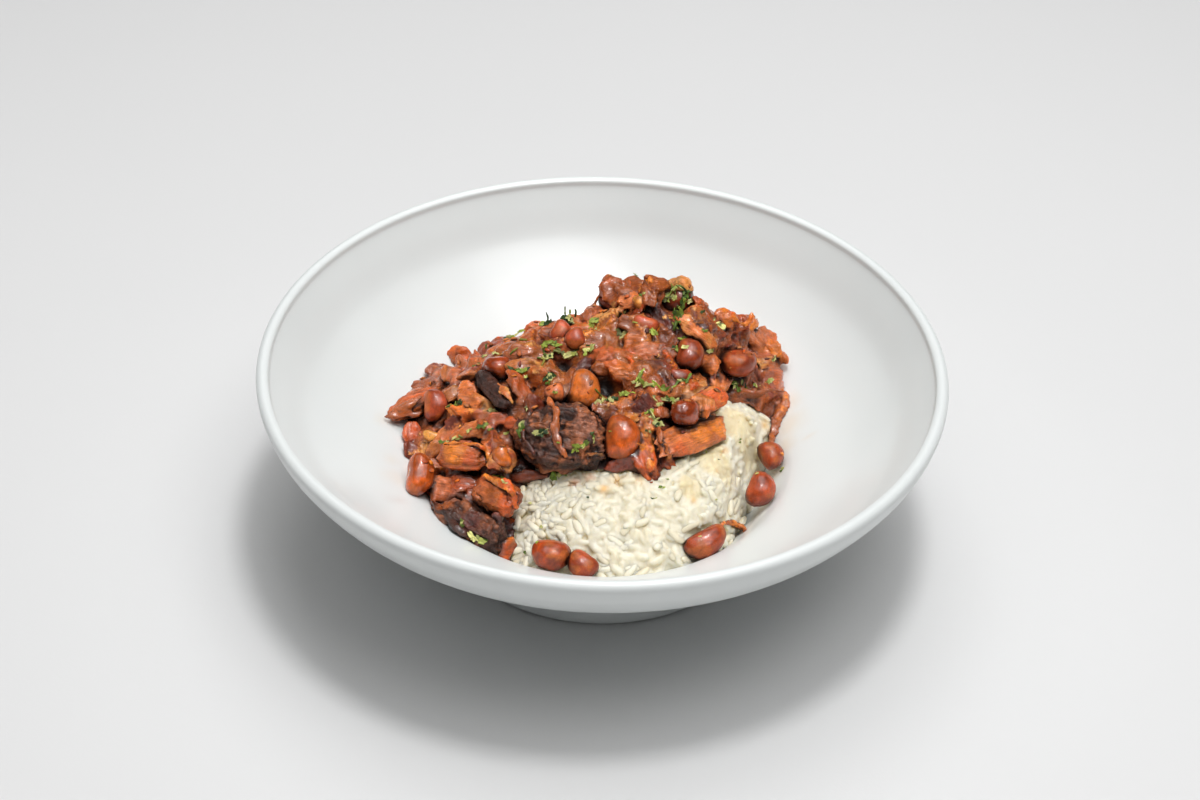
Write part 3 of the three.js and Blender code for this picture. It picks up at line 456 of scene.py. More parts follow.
def evened(values):
    """A row of values, each the mean of the five around it."""
    return np.convolve(np.pad(values, 2, mode="edge"), np.ones(5) / 5, "valid")


def smoothstep(low, high, value):
    """0 below `low`, 1 above `high`, and smooth between them."""
    t = np.clip((value - low) / (high - low), 0, 1)
    return t * t * (3 - 2 * t)


def mix(a, b, share):
    """A colour or point between a and b for each share."""
    share = np.asarray(share, float)[..., None]
    return a * (1 - share) + b * share


def view_axes():
    """The camera's place and its axes: ahead, right and up."""
    place, target = (np.array(CAMERA[key], float) for key in ("place", "target"))
    ahead = (target - place) / np.linalg.norm(target - place)
    right = np.cross(ahead, [0, 0, 1])
    right /= np.linalg.norm(right)
    return place, ahead, right, np.cross(right, ahead)


EYE, AHEAD, RIGHT, UP = view_axes()


def sight(px, py):
    """The direction in which a point of the picture is seen."""
    turn = math.radians(CAMERA["roll"])
    a = px - PICTURE[0] / 2 + PICTURE[0] * CAMERA["shift"][0]
    b = py - PICTURE[1] / 2 - PICTURE[0] * CAMERA["shift"][1]
    across = a * math.cos(turn) + b * math.sin(turn)
    down = b * math.cos(turn) - a * math.sin(turn)
    way = FOCAL * AHEAD + across * RIGHT - down * UP
    return way / np.linalg.norm(way)


def point_size(place):
    """Millimetres to a point of the picture at a place."""
    return np.linalg.norm(place - EYE) / FOCAL


def look(tree, way):
    """What the viewer sees of a tree in a direction."""
    return tree.ray_cast(Vector(EYE), Vector(way))[0]


def drop(tree, x, y):
    """Where something that falls on a tree lands, and the normal there."""
    return tree.ray_cast(Vector((x, y, OVERHEAD)), Vector((0, 0, -1)))[:2]


# ---------------------------------------------------------------- the frame's surfaces


def node_mesh(name):
    """Points in millimetres and triangles of a CAD node."""
    mesh = frame["nodes"][name].data
    points = np.array([v.co for v in mesh.vertices], float) / MM
    mesh.calc_loop_triangles()
    return points, np.array([t.vertices for t in mesh.loop_triangles])


def tree_of(*names):
    """A ray-casting tree over some CAD nodes."""
    points, faces, start = [], [], 0
    for name in names:
        node_points, node_faces = node_mesh(name)
        points.extend(node_points.tolist())
        faces.extend((node_faces + start).tolist())
        start = len(points)
    return BVHTree.FromPolygons(points, faces)


def grid_axes():
    """The heap grid's x and y values."""
    left, right, front, back = HEAP_AREA
    xs = np.arange(left, right + CELL / 2, CELL)
    ys = np.arange(front, back + CELL / 2, CELL)
    return xs, ys


GRID_X, GRID_Y = grid_axes()
GRID = np.stack(np.meshgrid(GRID_X, GRID_Y, indexing="ij"), -1)


def top_heights(*names):
    """The highest point of some CAD nodes over each grid point, or -1 beside them."""
    tree = tree_of(*names)
    heights = np.full(GRID.shape[:2], -1.0)
    for i, x in enumerate(GRID_X):
        for j, y in enumerate(GRID_Y):
            hit = drop(tree, x, y)[0]
            if hit is not None:
                heights[i, j] = hit.z
    return heights


def blur(grid, reach):
    """A grid smoothed over `reach` millimetres."""
    half = int(3 * reach / CELL)
    kernel = np.exp(-0.5 * (np.arange(-half, half + 1) * CELL / reach) ** 2)
    kernel /= kernel.sum()
    for axis in (0, 1):
        pad = [(half, half) if a == axis else (0, 0) for a in (0, 1)]
        padded = np.pad(grid, pad, mode="edge")
        grid = np.apply_along_axis(lambda row: np.convolve(row, kernel, "valid"), axis, padded)
    return grid


def sample(grid, x, y):
    """A grid's value at places in plan, between its points."""
    u = np.clip((np.asarray(x, float) - GRID_X[0]) / CELL, 0, len(GRID_X) - 1.001)
    v = np.clip((np.asarray(y, float) - GRID_Y[0]) / CELL, 0, len(GRID_Y) - 1.001)
    i, j = u.astype(int), v.astype(int)
    s, t = u - i, v - j
    if grid.ndim == 3:
        s, t = s[..., None], t[..., None]
    near = grid[i, j] * (1 - s) + grid[i + 1, j] * s
    far = grid[i, j + 1] * (1 - s) + grid[i + 1, j + 1] * s
    return near * (1 - t) + far * t


def meridian(name):
    """The outline of a turned CAD node in its half plane, from the axis round to the axis."""
    points, faces = node_mesh(name)
    radius = np.hypot(points[:, 0], points[:, 1])
    lead = points[np.argmax(radius)]
    aside = points[:, 0] * lead[1] - points[:, 1] * lead[0]
    ahead = points[:, 0] * lead[0] + points[:, 1] * lead[1]
    keys = {}
    for index in np.flatnonzero((abs(aside) < 1.0) & (ahead > -1.0)):
        keys[index] = (round(radius[index], 2), round(points[index][2], 2))
    links = {}
    for face in faces:
        inside = [keys[i] for i in face if i in keys]
        for a in inside:
            links.setdefault(a, set()).update(b for b in inside if b != a)
    axis = sorted(key for key in links if key[0] < 0.01)
    route, here = [], max(axis, key=lambda key: key[1])
    while here is not None:
        route.append(here)
        open_ways = [key for key in links[here] if key not in route]
        here = min(open_ways, key=lambda key: math.dist(key, route[-1]), default=None)
    return np.array(route)


def smooth_profile(corners, steps):
    """A smooth curve through an outline's corners, evenly divided between them."""
    corners = np.vstack([corners[0], corners, corners[-1]])
    curve = []
    for p0, p1, p2, p3 in zip(corners, corners[1:], corners[2:], corners[3:]):
        reach = max(np.linalg.norm(p2 - p1), 1e-6)
        before = min(reach / max(np.linalg.norm(p1 - p0), 1e-6), 1)
        after = min(reach / max(np.linalg.norm(p3 - p2), 1e-6), 1)
        start = 0.5 * ((p2 - p1) + (p1 - p0) * before)
        end = 0.5 * ((p2 - p1) + (p3 - p2) * after)
        for t in np.arange(steps) / steps:
            h = [2 * t ** 3 - 3 * t ** 2 + 1, t ** 3 - 2 * t ** 2 + t,
                 -2 * t ** 3 + 3 * t ** 2, t ** 3 - t ** 2]
            curve.append(h[0] * p1 + h[1] * start + h[2] * p2 + h[3] * end)
    curve.append(corners[-1])
    return np.array(curve)


BOWL_PROFILE = smooth_profile(meridian("bowl"), 6)
INNER_PROFILE = BOWL_PROFILE[:int(np.argmax(BOWL_PROFILE[:, 1]))]


def wall_height(x, y):
    """The bowl's inner surface at places in plan."""
    return np.interp(np.hypot(x, y), INNER_PROFILE[:, 0], INNER_PROFILE[:, 1])


WALL = wall_height(GRID[..., 0], GRID[..., 1])
RICE_TOP = top_heights("rice")
STEW_TOP = top_heights("bean_stew")
STEW_IN = blur((STEW_TOP > 0).astype(float), 1.5)
BED = np.maximum(WALL, RICE_TOP)
FOOD_NODES = [name for name in frame["nodes"] if name != "bowl"]
FOOD = tree_of(*FOOD_NODES)
FOOD_TOP = top_heights(*FOOD_NODES)
HEAP = blur(np.maximum(FOOD_TOP, WALL), 3.0)
BOWL = tree_of("bowl")
DISH = tree_of(*frame["nodes"])
TRACK = np.linspace(560, 820, 521)  # distances from the viewer at which the food lies
FOOD_LEAST = 5  # food stands at least this high
NEAR_MISS = 6  # how far over the food a line of sight may pass and still count as meeting it


def seen(px, py, tree=FOOD):
    """What shows at a point of the picture, or the heap's nearest edge to it."""
    way = sight(px, py)
    hit = look(tree, way)
    if hit is not None:
        return np.array(hit)
    track = EYE + TRACK[:, None] * way
    under = sample(FOOD_TOP, track[:, 0], track[:, 1])
    above = np.where(under > FOOD_LEAST, track[:, 2] - under, OVERHEAD)
    if above.min() < NEAR_MISS:
        return track[np.argmin(above)]
    return np.array(look(DISH, way))


def away_from(points, px, py, tree=FOOD):
    """How far points are from what shows at a point of the picture."""
    return np.linalg.norm(points - seen(px, py, tree), axis=1)


def upward(grid, x, y, step=2.0):
    """A height grid's normal at a place in plan, not yet of length 1."""
    slope_x = (sample(grid, x + step, y) - sample(grid, x - step, y)) / (2 * step)
    slope_y = (sample(grid, x, y + step) - sample(grid, x, y - step)) / (2 * step)
    return np.array([-slope_x, -slope_y, 1.0])


def outward(point, lean):
    """The heap's smooth normal at a point, leaning towards the viewer."""
    normal = upward(HEAP, *point[:2])
    normal /= np.linalg.norm(normal)
    normal = normal * (1 - lean) + (EYE - point) / np.linalg.norm(EYE - point) * lean
    return normal / np.linalg.norm(normal)


def lay(px, py, angle, tree=FOOD, lean=0.45):
    """How a piece lies: its point, its axes as columns, and millimetres per picture unit."""
    point = seen(px, py, tree)
    out = outward(point, lean)
    turn, step = math.radians(angle), 4.0
    cos, sin = step * math.cos(turn), step * math.sin(turn)

    def meet(dx, dy):
        way = sight(px + dx, py + dy)
        return EYE + way * ((point - EYE) @ out) / (way @ out)

    along = meet(cos, -sin) - meet(-cos, sin)
    aside = meet(-sin, -cos) - meet(sin, cos)
    length = np.linalg.norm(along)
    along /= length
    across = np.cross(out, along)
    return (point, np.column_stack([along, across, out]),
            length / (2 * step), abs(aside @ across) / (2 * step))


def axes_on(out, along):
    """Axes as columns: along a surface near a given way, across that, and out of it."""
    along = along - out * (along @ out)
    along /= np.linalg.norm(along)
    return np.column_stack([along, np.cross(out, along), out])


def frame_on(out, heading):
    """Axes as columns for a piece on a surface, turned by a heading seen from above."""
    turn = math.radians(heading)
    way = np.array([math.cos(turn), math.sin(turn), 0.0])
    return axes_on(out / np.linalg.norm(out), way)


def rest(x, y, heading):
    """The place and axes of a piece that lies on the heap at a place in plan."""
    place = np.array([x, y, sample(FOOD_TOP, x, y)])
    return place, frame_on(upward(HEAP, x, y), heading)


def tipped(axes, pitch, roll):
    """Axes tipped a little about their own first and second directions, in radians."""
    tip = Matrix.Rotation(pitch, 3, "Y") @ Matrix.Rotation(roll, 3, "X")
    return axes @ np.array(tip)


def facing(base, px, py):
    """The point at a place of the picture that is as far from the viewer as `base`."""
    way = sight(px, py)
    return EYE + way * ((base - EYE) @ AHEAD) / (way @ AHEAD)


# ---------------------------------------------------------------- meshes


def bare_mesh(name, points, faces):
    """A Blender mesh in metres from points in millimetres and arrays of faces."""
    mesh = bpy.data.meshes.new(name)
    mesh.vertices.add(len(points))
    mesh.vertices.foreach_set("co", (points * MM).astype(np.float32).ravel())
    corners = np.concatenate([face.ravel() for face in faces])
    sides = np.concatenate([np.full(len(face), face.shape[1]) for face in faces])
    mesh.loops.add(len(corners))
    mesh.loops.foreach_set("vertex_index", corners.astype(np.int32))
    mesh.polygons.add(len(sides))
    starts = np.concatenate([[0], np.cumsum(sides)[:-1]])
    mesh.polygons.foreach_set("loop_start", starts.astype(np.int32))
    mesh.polygons.foreach_set("use_smooth", np.ones(len(sides), bool))
    mesh.update(calc_edges=True)
    return mesh


def mesh_arrays(mesh):
    """A mesh's points in millimetres and its normals."""
    points = np.empty(len(mesh.vertices) * 3, np.float32)
    normals = np.empty(len(mesh.vertices) * 3, np.float32)
    mesh.vertices.foreach_get("co", points)
    mesh.vertex_normals.foreach_get("vector", normals)
    return points.reshape(-1, 3).astype(float) / MM, normals.reshape(-1, 3).astype(float)


def remeshed(mesh, voxel, smooth):
    """A closed mesh rebuilt evenly and smoothed: points, faces and outward normals."""
    holder = bpy.data.objects.new("work", mesh)
    bpy.context.scene.collection.objects.link(holder)
    remesh = holder.modifiers.new("remesh", "REMESH")
    remesh.mode = "VOXEL"
    remesh.voxel_size = voxel * MM
    soften = holder.modifiers.new("smooth", "SMOOTH")
    soften.factor = SMOOTHING
    soften.iterations = smooth
    result = bpy.data.meshes.new_from_object(
        holder.evaluated_get(bpy.context.evaluated_depsgraph_get()))
    points, normals = mesh_arrays(result)
    faces = []
    for sides in (3, 4):
        part = [p.vertices[:] for p in result.polygons if len(p.vertices) == sides]
        if part:
            faces.append(np.array(part))
    bpy.data.objects.remove(holder)
    bpy.data.meshes.remove(result)
    bpy.data.meshes.remove(mesh)
    return points, faces, normals


class Batch:
    """Closed meshes gathered into one piece, with a tint, a grain direction and a wetness."""

    def __init__(self):
        self.points, self.faces, self.tints, self.grains, self.wets = [], [], [], [], []
        self.count = 0

    def add(self, points, faces, tint, grain=None, wet=0.5):
        """Adds one closed mesh; `faces` is a list of arrays of faces with equal sides."""
        size = len(points)
        self.points.append(points)
        self.faces.extend(face + self.count for face in faces)
        self.tints.append(np.broadcast_to(tint, (size, 3)))
        self.grains.append(points if grain is None else grain)
        self.wets.append(np.broadcast_to(wet, (size,)))
        self.count += size

    def piece(self, name, material, slot, replaces=()):
        """Makes the Blender object, in metres, on the dish's one body."""
        points = np.vstack(self.points)
        mesh = bare_mesh(name, points, self.faces)
        tint = np.ones((len(points), 4), np.float32)
        tint[:, :3] = np.clip(np.vstack(self.tints), 0, 1)
        mesh.attributes.new("tint", "FLOAT_COLOR", "POINT").data.foreach_set("color", tint.ravel())
        grain = np.vstack(self.grains).astype(np.float32)
        layer = mesh.attributes.new("grain", "FLOAT_VECTOR", "POINT")
        layer.data.foreach_set("vector", grain.ravel())
        wet = np.concatenate(self.wets).astype(np.float32)
        mesh.attributes.new("wet", "FLOAT", "POINT").data.foreach_set("value", wet)
        mesh.materials.append(material)
        piece = bpy.data.objects.new(name, mesh)
        bpy.context.scene.collection.objects.link(piece)
        triangles = sum(len(face) * (face.shape[1] - 2) for face in self.faces)
        if triangles > MOST_TRIANGLES:
            thin = piece.modifiers.new("thin", "DECIMATE")
            thin.ratio = MOST_TRIANGLES / triangles
            graph = bpy.context.evaluated_depsgraph_get()
            piece.data = bpy.data.meshes.new_from_object(piece.evaluated_get(graph))
            piece.modifiers.clear()
        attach(piece, "root")
        if replaces:
            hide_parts(*replaces)


def circle(sides):
    """Evenly spaced angles."""
    return np.arange(sides) * 2 * math.pi / sides


def ring_faces(rings, sides):
    """The faces of a closed body: a first point, rings of points and a last point."""
    here = np.arange(sides)
    after = (here + 1) % sides
    rows = 1 + sides * np.arange(rings - 1)[:, None]
    quads = np.stack([rows + here, rows + sides + here, rows + sides + after, rows + after], -1)
    last = 1 + sides * (rings - 1)
    near = np.stack([np.zeros(sides, int), 1 + here, 1 + after], -1)
    far = np.stack([np.full(sides, last + sides), last + after, last + here], -1)
    return [quads.reshape(-1, 4), near, far]


@functools.cache
def ball(sides, rings):
    """A unit ball with its poles on X: its points and its faces."""
    down = np.linspace(0, math.pi, rings + 1)[1:-1, None]
    around = circle(sides)[None, :]
    ring = np.stack(np.broadcast_arrays(
        np.cos(down), np.sin(down) * np.cos(around), np.sin(down) * np.sin(around)), -1)
    points = np.vstack([[[1, 0, 0]], ring.reshape(-1, 3), [[-1, 0, 0]]])
    return points, ring_faces(rings - 1, sides)


def main_axes(points):
    """The middle of some points and their own directions as columns, the longest first."""
    centre = points.mean(0)
    _, axes = np.linalg.eigh(np.cov((points - centre).T))
    return centre, axes[:, ::-1]


def full_ball(unit, edge):
    """A unit ball swollen towards a box: `edge` 2 is round, and more is blockier."""
    power = (abs(unit) ** edge).sum(1)
    return unit * (power ** (-1 / edge))[:, None]


def settle(points):
    """Keeps points just above the bowl's inner surface."""
    points = points.copy()
    floor = wall_height(points[:, 0], points[:, 1]) + WALL_GAP
    points[:, 2] = np.maximum(points[:, 2], floor)
    return points


def tube(path, across, thick, sides, seed):
    """A strand along a path, with a width and thickness at each of its points."""
    along = np.gradient(path, axis=0)
    along /= np.linalg.norm(along, axis=1)[:, None]
    side = np.cross(along, outward(path[len(path) // 2], 0.5))
    side /= np.maximum(np.linalg.norm(side, axis=1), 1e-6)[:, None]
    up = np.cross(side, along)
    angle = circle(sides)
    rough = noise(np.stack(np.broadcast_arrays(
        np.arange(len(path))[:, None] * 0.5 + seed, np.cos(angle) * 1.6, np.sin(angle) * 1.6), -1))
    swell = 1 + 0.22 * rough
    ring = (side[:, None] * (across[:, None] * np.cos(angle) * swell)[..., None]
            + up[:, None] * (thick[:, None] * np.sin(angle) * swell)[..., None]) / 2
    points = np.vstack([path[:1], (path[:, None] + ring).reshape(-1, 3), path[-1:]])
    faces = [np.roll(face[:, ::-1], 1, axis=1) for face in ring_faces(len(path), sides)]
    return points, faces, np.concatenate([[0], rough.ravel(), [0]])


def shell(top, bottom, mask):
    """A closed block between two height grids where the mask is true."""
    use = mask[:-1, :-1] & mask[1:, :-1] & mask[:-1, 1:] & mask[1:, 1:]
    number = np.full(mask.shape, -1)
    corner = np.zeros(mask.shape, bool)
    for di in (0, 1):
        for dj in (0, 1):
            corner[di:di + use.shape[0], dj:dj + use.shape[1]] |= use
    number[corner] = np.arange(corner.sum())
    count = corner.sum()
    plan = GRID[corner]
    points = np.vstack([
        np.column_stack([plan, top[corner]]), np.column_stack([plan, bottom[corner]])])
    around = number[:-1, :-1], number[1:, :-1], number[1:, 1:], number[:-1, 1:]
    a, b, c, d = (side[use] for side in around)
    faces = [np.stack([a, b, c, d], -1), np.stack([a, d, c, b], -1) + count]
    edge = np.pad(use, 1)
    beside = edge[1:-1, :-2], edge[2:, 1:-1], edge[1:-1, 2:], edge[:-2, 1:-1]
    for side in range(4):
        rim = use & ~beside[side]
        p, q = around[side][rim], around[(side + 1) % 4][rim]
        faces.append(np.stack([p, p + count, q + count, q], -1))
    return points, faces


# ---------------------------------------------------------------- materials


class Shader:
    """A material's nodes around its Principled shader."""

    def __init__(self, name):
        self.material = bpy.data.materials.new(name)
        self.material.use_nodes = True
        self.tree = self.material.node_tree
        self.surface = self.tree.nodes["Principled BSDF"]

    def set(self, socket, value):
        """Sets a socket's value, or links another socket to it."""
        if isinstance(value, bpy.types.NodeSocket):
            self.tree.links.new(value, socket)
        elif hasattr(value, "__len__") and len(value) == 3 and socket.type == "RGBA":
            socket.default_value = (*value, 1)
        else:
            socket.default_value = value

    def node(self, kind, inputs, **settings):
        """Adds a node with its settings and inputs."""
        node = self.tree.nodes.new("ShaderNode" + kind)
        for key, value in settings.items():
            setattr(node, key, value)
        for key, value in inputs.items():
            self.set(node.inputs[key], value)
        return node

    def attribute(self, name, output="Fac"):
        """One of the mesh's own values."""
        return self.node("Attribute", {}, attribute_name=name).outputs[output]

    def place(self):
        """The place on the object in metres."""
        return self.node("TexCoord", {}).outputs["Object"]

    def stretched(self, vector, scale):
        """Coordinates scaled by a different amount each way."""
        return self.node("Mapping", {"Vector": vector, "Scale": scale}).outputs["Vector"]

    def noise(self, vector, scale, detail=3.0, roughness=0.55):
        """Cloudy noise from 0 to 1."""
        inputs = {"Vector": vector, "Scale": scale, "Detail": detail, "Roughness": roughness}
        return self.node("TexNoise", inputs).outputs["Fac"]

    def spread(self, value, to_low, to_high, low=0.3, high=0.7):
        """A value's range changed from one pair of limits to another: noise's own at first."""
        inputs = {"Value": value, "From Min": low, "From Max": high,
                  "To Min": to_low, "To Max": to_high}
        return self.node("MapRange", inputs).outputs["Result"]

    def blend(self, share, first, second, how="MIX"):
        """Two colours mixed by a share."""
        node = self.node("Mix", {}, data_type="RGBA", blend_type=how)
        self.set(node.inputs["Factor"], share)
        self.set(node.inputs[6], first)
        self.set(node.inputs[7], second)
        return node.outputs[2]

    def shaded(self, colour, shade):
        """A colour made lighter and darker by a number around 1."""
        grey = self.node("CombineColor", {0: shade, 1: shade, 2: shade}).outputs[0]
        return self.blend(1.0, colour, grey, "MULTIPLY")

    def maths(self, operation, first, second):
        """Two numbers put together."""
        node = self.node("Math", {0: first, 1: second}, operation=operation)
        return node.outputs[0]

    def bump(self, height, distance, strength=1.0, normal=None):
        """Relief from a height between 0 and 1, `distance` metres deep."""
        inputs = {"Height": height, "Distance": distance, "Strength": strength}
        if normal is not None:
            inputs["Normal"] = normal
        return self.node("Bump", inputs).outputs["Normal"]

    def finish(self, **inputs):
        """Sets the shader's own sockets and gives the material."""
        for key, value in inputs.items():
            self.set(self.surface.inputs[key.replace("_", " ")], value)
        return self.material


def food_material(name, rough, fibre, depth, soft, coat, mottle):
    """Moist food: its tint varied by fine noise, wetter in places, with fibrous relief."""
    shader = Shader(name)
    grain = shader.attribute("grain", "Vector")
    tint = shader.attribute("tint", "Color")
    wet = shader.attribute("wet")
    along = shader.stretched(grain, fibre)
    strands = shader.noise(along, 1.0, 4.0, 0.6)
    place = shader.place()
    cloud = shader.noise(place, 330.0, 4.0, 0.6)
    speck = shader.noise(place, 2400.0, 2.0, 0.5)
    shade = shader.spread(cloud, 1 - mottle, 1 + 0.7 * mottle)
    shade = shader.maths("MULTIPLY", shade, shader.spread(strands, 0.72, 1.26))
    shade = shader.maths("MULTIPLY", shade, shader.spread(speck, 0.9, 1.1, 0.35, 0.65))
    colour = shader.shaded(tint, shade)
    gloss = shader.maths("ADD", shader.spread(cloud, 0.1, -0.06),
                         shader.spread(wet, rough[1], rough[0], 0.0, 1.0))
    film = shader.spread(wet, 0.0, coat, 0.2, 0.9)
    relief = shader.bump(strands, depth * MM, 0.8)
    relief = shader.bump(speck, 0.25 * depth * MM, 0.5, relief)
    ripple = shader.bump(shader.noise(place, 620.0, 3.0, 0.6), 0.35 * MM, 0.45)
    return shader.finish(
        Base_Color=colour, Roughness=gloss, Normal=relief, Subsurface_Weight=soft,
        Subsurface_Radius=(1.0, 0.35, 0.18), Subsurface_Scale=0.0022, Coat_Normal=ripple,
        Coat_Weight=film, Coat_Roughness=0.07, Coat_IOR=1.5, Specular_IOR_Level=0.4)


def bowl_material():
    """White glaze: glossy, hardly uneven, with faint sauce stains where the mesh says."""
    shader = Shader("white_glaze")
    place = shader.place()
    stain = shader.attribute("wet")
    tint = shader.attribute("tint", "Color")
    cloud = shader.noise(place, 14.0)
    white = shader.blend(shader.spread(cloud, 0.0, 1.0),
                         srgb(227, 231, 230), srgb(231, 235, 234))
    colour = shader.blend(stain, white, tint)
    relief = shader.bump(shader.noise(place, 30.0, 2.0), 0.00012, 0.5)
    rough = shader.spread(cloud, 0.28, 0.34)
    return shader.finish(Base_Color=colour, Roughness=rough, Normal=relief,
                         Specular_IOR_Level=0.5, Coat_Weight=0.25, Coat_Roughness=0.12)


def rice_material(name, soft, depth):
    """Cooked rice: milky, soft and moist."""
    shader = Shader(name)
    tint = shader.attribute("tint", "Color")
    grain = shader.attribute("grain", "Vector")
    cloud = shader.noise(grain, 0.6, 3.0)
    shade = shader.spread(cloud, 0.94, 1.05)
    colour = shader.shaded(tint, shade)
    relief = shader.bump(shader.noise(grain, 1.6, 2.0), 0.00012, 0.6)
    rough = shader.spread(cloud, 0.34, 0.5)
    return shader.finish(Base_Color=colour, Roughness=rough, Normal=relief,
                         Subsurface_Weight=soft, Subsurface_Radius=(1.0, 0.92, 0.76),
                         Subsurface_Scale=depth, Specular_IOR_Level=0.35,
                         Coat_Weight=0.12, Coat_Roughness=0.2)


def herb_material():
    """Chopped parsley: matt leaf with fine veins."""
    shader = Shader("parsley")
    tint = shader.attribute("tint", "Color")
    grain = shader.attribute("grain", "Vector")
    veins = shader.noise(shader.stretched(grain, (0.6, 2.6, 1.0)), 1.2, 3.0)
    shade = shader.spread(veins, 0.72, 1.25)
    colour = shader.shaded(tint, shade)
    relief = shader.bump(veins, 0.0002, 0.6)
    return shader.finish(Base_Color=colour, Roughness=0.5, Normal=relief,
                         Subsurface_Weight=0.1, Subsurface_Radius=(0.8, 1.0, 0.3),
                         Subsurface_Scale=0.0006, Specular_IOR_Level=0.35)


def floor_material():
    """A plain pale cloth."""
    shader = Shader("pale_floor")
    place = shader.place()
    cloud = shader.spread(shader.noise(place, 2.0), 0.0, 1.0)
    colour = shader.blend(cloud, srgb(221, 221, 221), srgb(223, 223, 223))
    relief = shader.bump(shader.noise(place, 900.0, 2.0), 0.0001, 0.3)
    return shader.finish(Base_Color=colour, Roughness=0.9, Normal=relief, Specular_IOR_Level=0.2)


GLAZE = bowl_material()
HERB = herb_material()
# Rice: how much light goes in, and how many metres deep.
RICE_FINISH = rice_material("cooked_rice", 1.0, 0.0032)
GRAIN_FINISH = rice_material("rice_grain", 0.4, 0.0008)
# Food: roughness wet and dry, its fibres' stretch, relief in millimetres, how much light
# goes in, the wet film and how mottled it is.
STEW_FINISH = food_material("stew", (0.2, 0.45), (0.3, 1.8, 1.8), 0.6, 0.08, 0.8, 0.26)
BEAN_FINISH = food_material("bean_skin", (0.2, 0.44), (0.3, 0.5, 0.5), 0.12, 0.1, 0.7, 0.32)
MEAT_FINISH = food_material("stewed_meat", (0.26, 0.55), (0.22, 2.0, 2.0), 0.7, 0.08, 0.45, 0.36)
CHAR_FINISH = food_material("charred_meat", (0.3, 0.6), (0.7, 1.6, 1.6), 1.0, 0.03, 0.35, 0.6)

# ---------------------------------------------------------------- the bowl


def build_bowl():
    """The bowl as one smooth turned body, with faint stains."""
    profile = np.maximum(BOWL_PROFILE, [-1.0, 0.0])
    angle = circle(BOWL_SEGMENTS)
    inner = profile[1:-1]
    rings = np.stack([inner[:, :1] * np.cos(angle), inner[:, :1] * np.sin(angle),
                      np.broadcast_to(inner[:, 1:], (len(inner), len(angle)))], -1)
    points = np.vstack([[[0, 0, profile[0, 1]]], rings.reshape(-1, 3), [[0, 0, profile[-1, 1]]]])
    tint = np.tile(OIL, (len(points), 1))
    share = np.zeros(len(points))
    for px, py, reach, colour, amount in STAINS:
        own = amount * np.exp(-(away_from(points, px, py, BOWL) / reach) ** 2)
        tint[own > share] = colour
        share = np.maximum(share, own)
    share *= 1 + 0.4 * noise(points / 3.0)
    batch = Batch()
    batch.add(points, ring_faces(len(inner), BOWL_SEGMENTS), tint, wet=share)
    batch.piece("bowl_body", GLAZE, "white_glaze", ["bowl"])


# ---------------------------------------------------------------- beans


def bean_shape(size, sides, rings, seed):
    """A kidney bean along X with its hollow side towards +Y: points, faces, eye."""
    length, width, height = size
    unit, faces = ball(sides, rings)
    full = full_ball(unit, 2.25)
    bow = 0.16 * width * (full[:, 0] ** 2 - 0.35)
    points = full * np.array([length, width, height]) / 2
    points[:, 1] += bow
    inward = np.exp(-((full[:, 0] / 0.26) ** 2 + (full[:, 2] / 0.3) ** 2)) * (full[:, 1] > 0)
    dents = 0.02 * width * layered(points * 0.3 + seed, 2)
    creases = 0.012 * width * noise(points * np.array([0.35, 1.1, 1.1]) + seed * 1.7)
    points += unit * (dents + creases - 0.06 * width * inward)[:, None]
    return points, faces, inward


def bean_tint(points, inward, base, seed):
    """A bean skin's colour: mottled, with specks, a pale eye and painted shade at its ends."""
    cloud = layered(points * 0.28 + seed * 3.1, 3)
    tint = mix(base, base * 0.7, smoothstep(0.1, 0.7, cloud))
    tint = mix(tint, np.minimum(base * 1.35, 1), smoothstep(0.15, 0.8, -cloud))
    speck = smoothstep(0.6, 0.8, noise(points * 1.5 + seed * 7.7))
    tint = mix(tint, PLUM, 0.4 * speck)
    # Painted shade: the bean darkens towards both ends.
    along = abs(points[:, 0])
    tint = mix(tint, base * 0.55, 0.5 * smoothstep(0.55, 1.0, along / along.max()))
    return mix(tint, HILUM, 0.5 * smoothstep(0.55, 0.9, inward))


def add_bean(batch, size, centre, axes, base, seed, cover, wet, detail=(28, 22)):
    """Adds one bean with sauce that clings to it in patches, and painted shade underneath."""
    points, faces, inward = bean_shape(size, *detail, seed)
    tint = bean_tint(points, inward, base, seed)
    patch = smoothstep(0.25 - cover, 0.55 - cover, layered(points * 0.22 + seed * 5.3, 3))
    tint, film = mix(tint, SAUCE, 0.8 * patch), wet * (1 - 0.5 * patch)
    placed = points @ axes.T
    # Painted shade and light: darker and redder underneath and at the sides, a little lighter on
    # top.
    up = placed @ outward(centre, 0.4)
    tint = mix(tint * BEAN_UNDERSIDE_SHADE, tint * 1.05, smoothstep(-0.45, 0.65, up / abs(up).max()))
    batch.add(settle(placed + centre), faces, tint, points + seed * 7.0, film)


def bean_axes(name):
    """A bean node's middle, its size and its axes as columns, the hollow side second."""
    points = np.unique(np.round(node_mesh(name)[0], 3), axis=0)
    centre, axes = main_axes(points)
    local = (points - centre) @ axes
    bends = [np.mean(local[:, k] * (local[:, 0] ** 2 - np.mean(local[:, 0] ** 2)))
             for k in (1, 2)]
    size = local.max(0) - local.min(0)
    middle = centre + axes @ ((local.max(0) + local.min(0)) / 2)
    if bends[0] < 0:
        axes[:, 1] *= -1
    axes[:, 2] = np.cross(axes[:, 0], axes[:, 1])
    return middle, size, axes


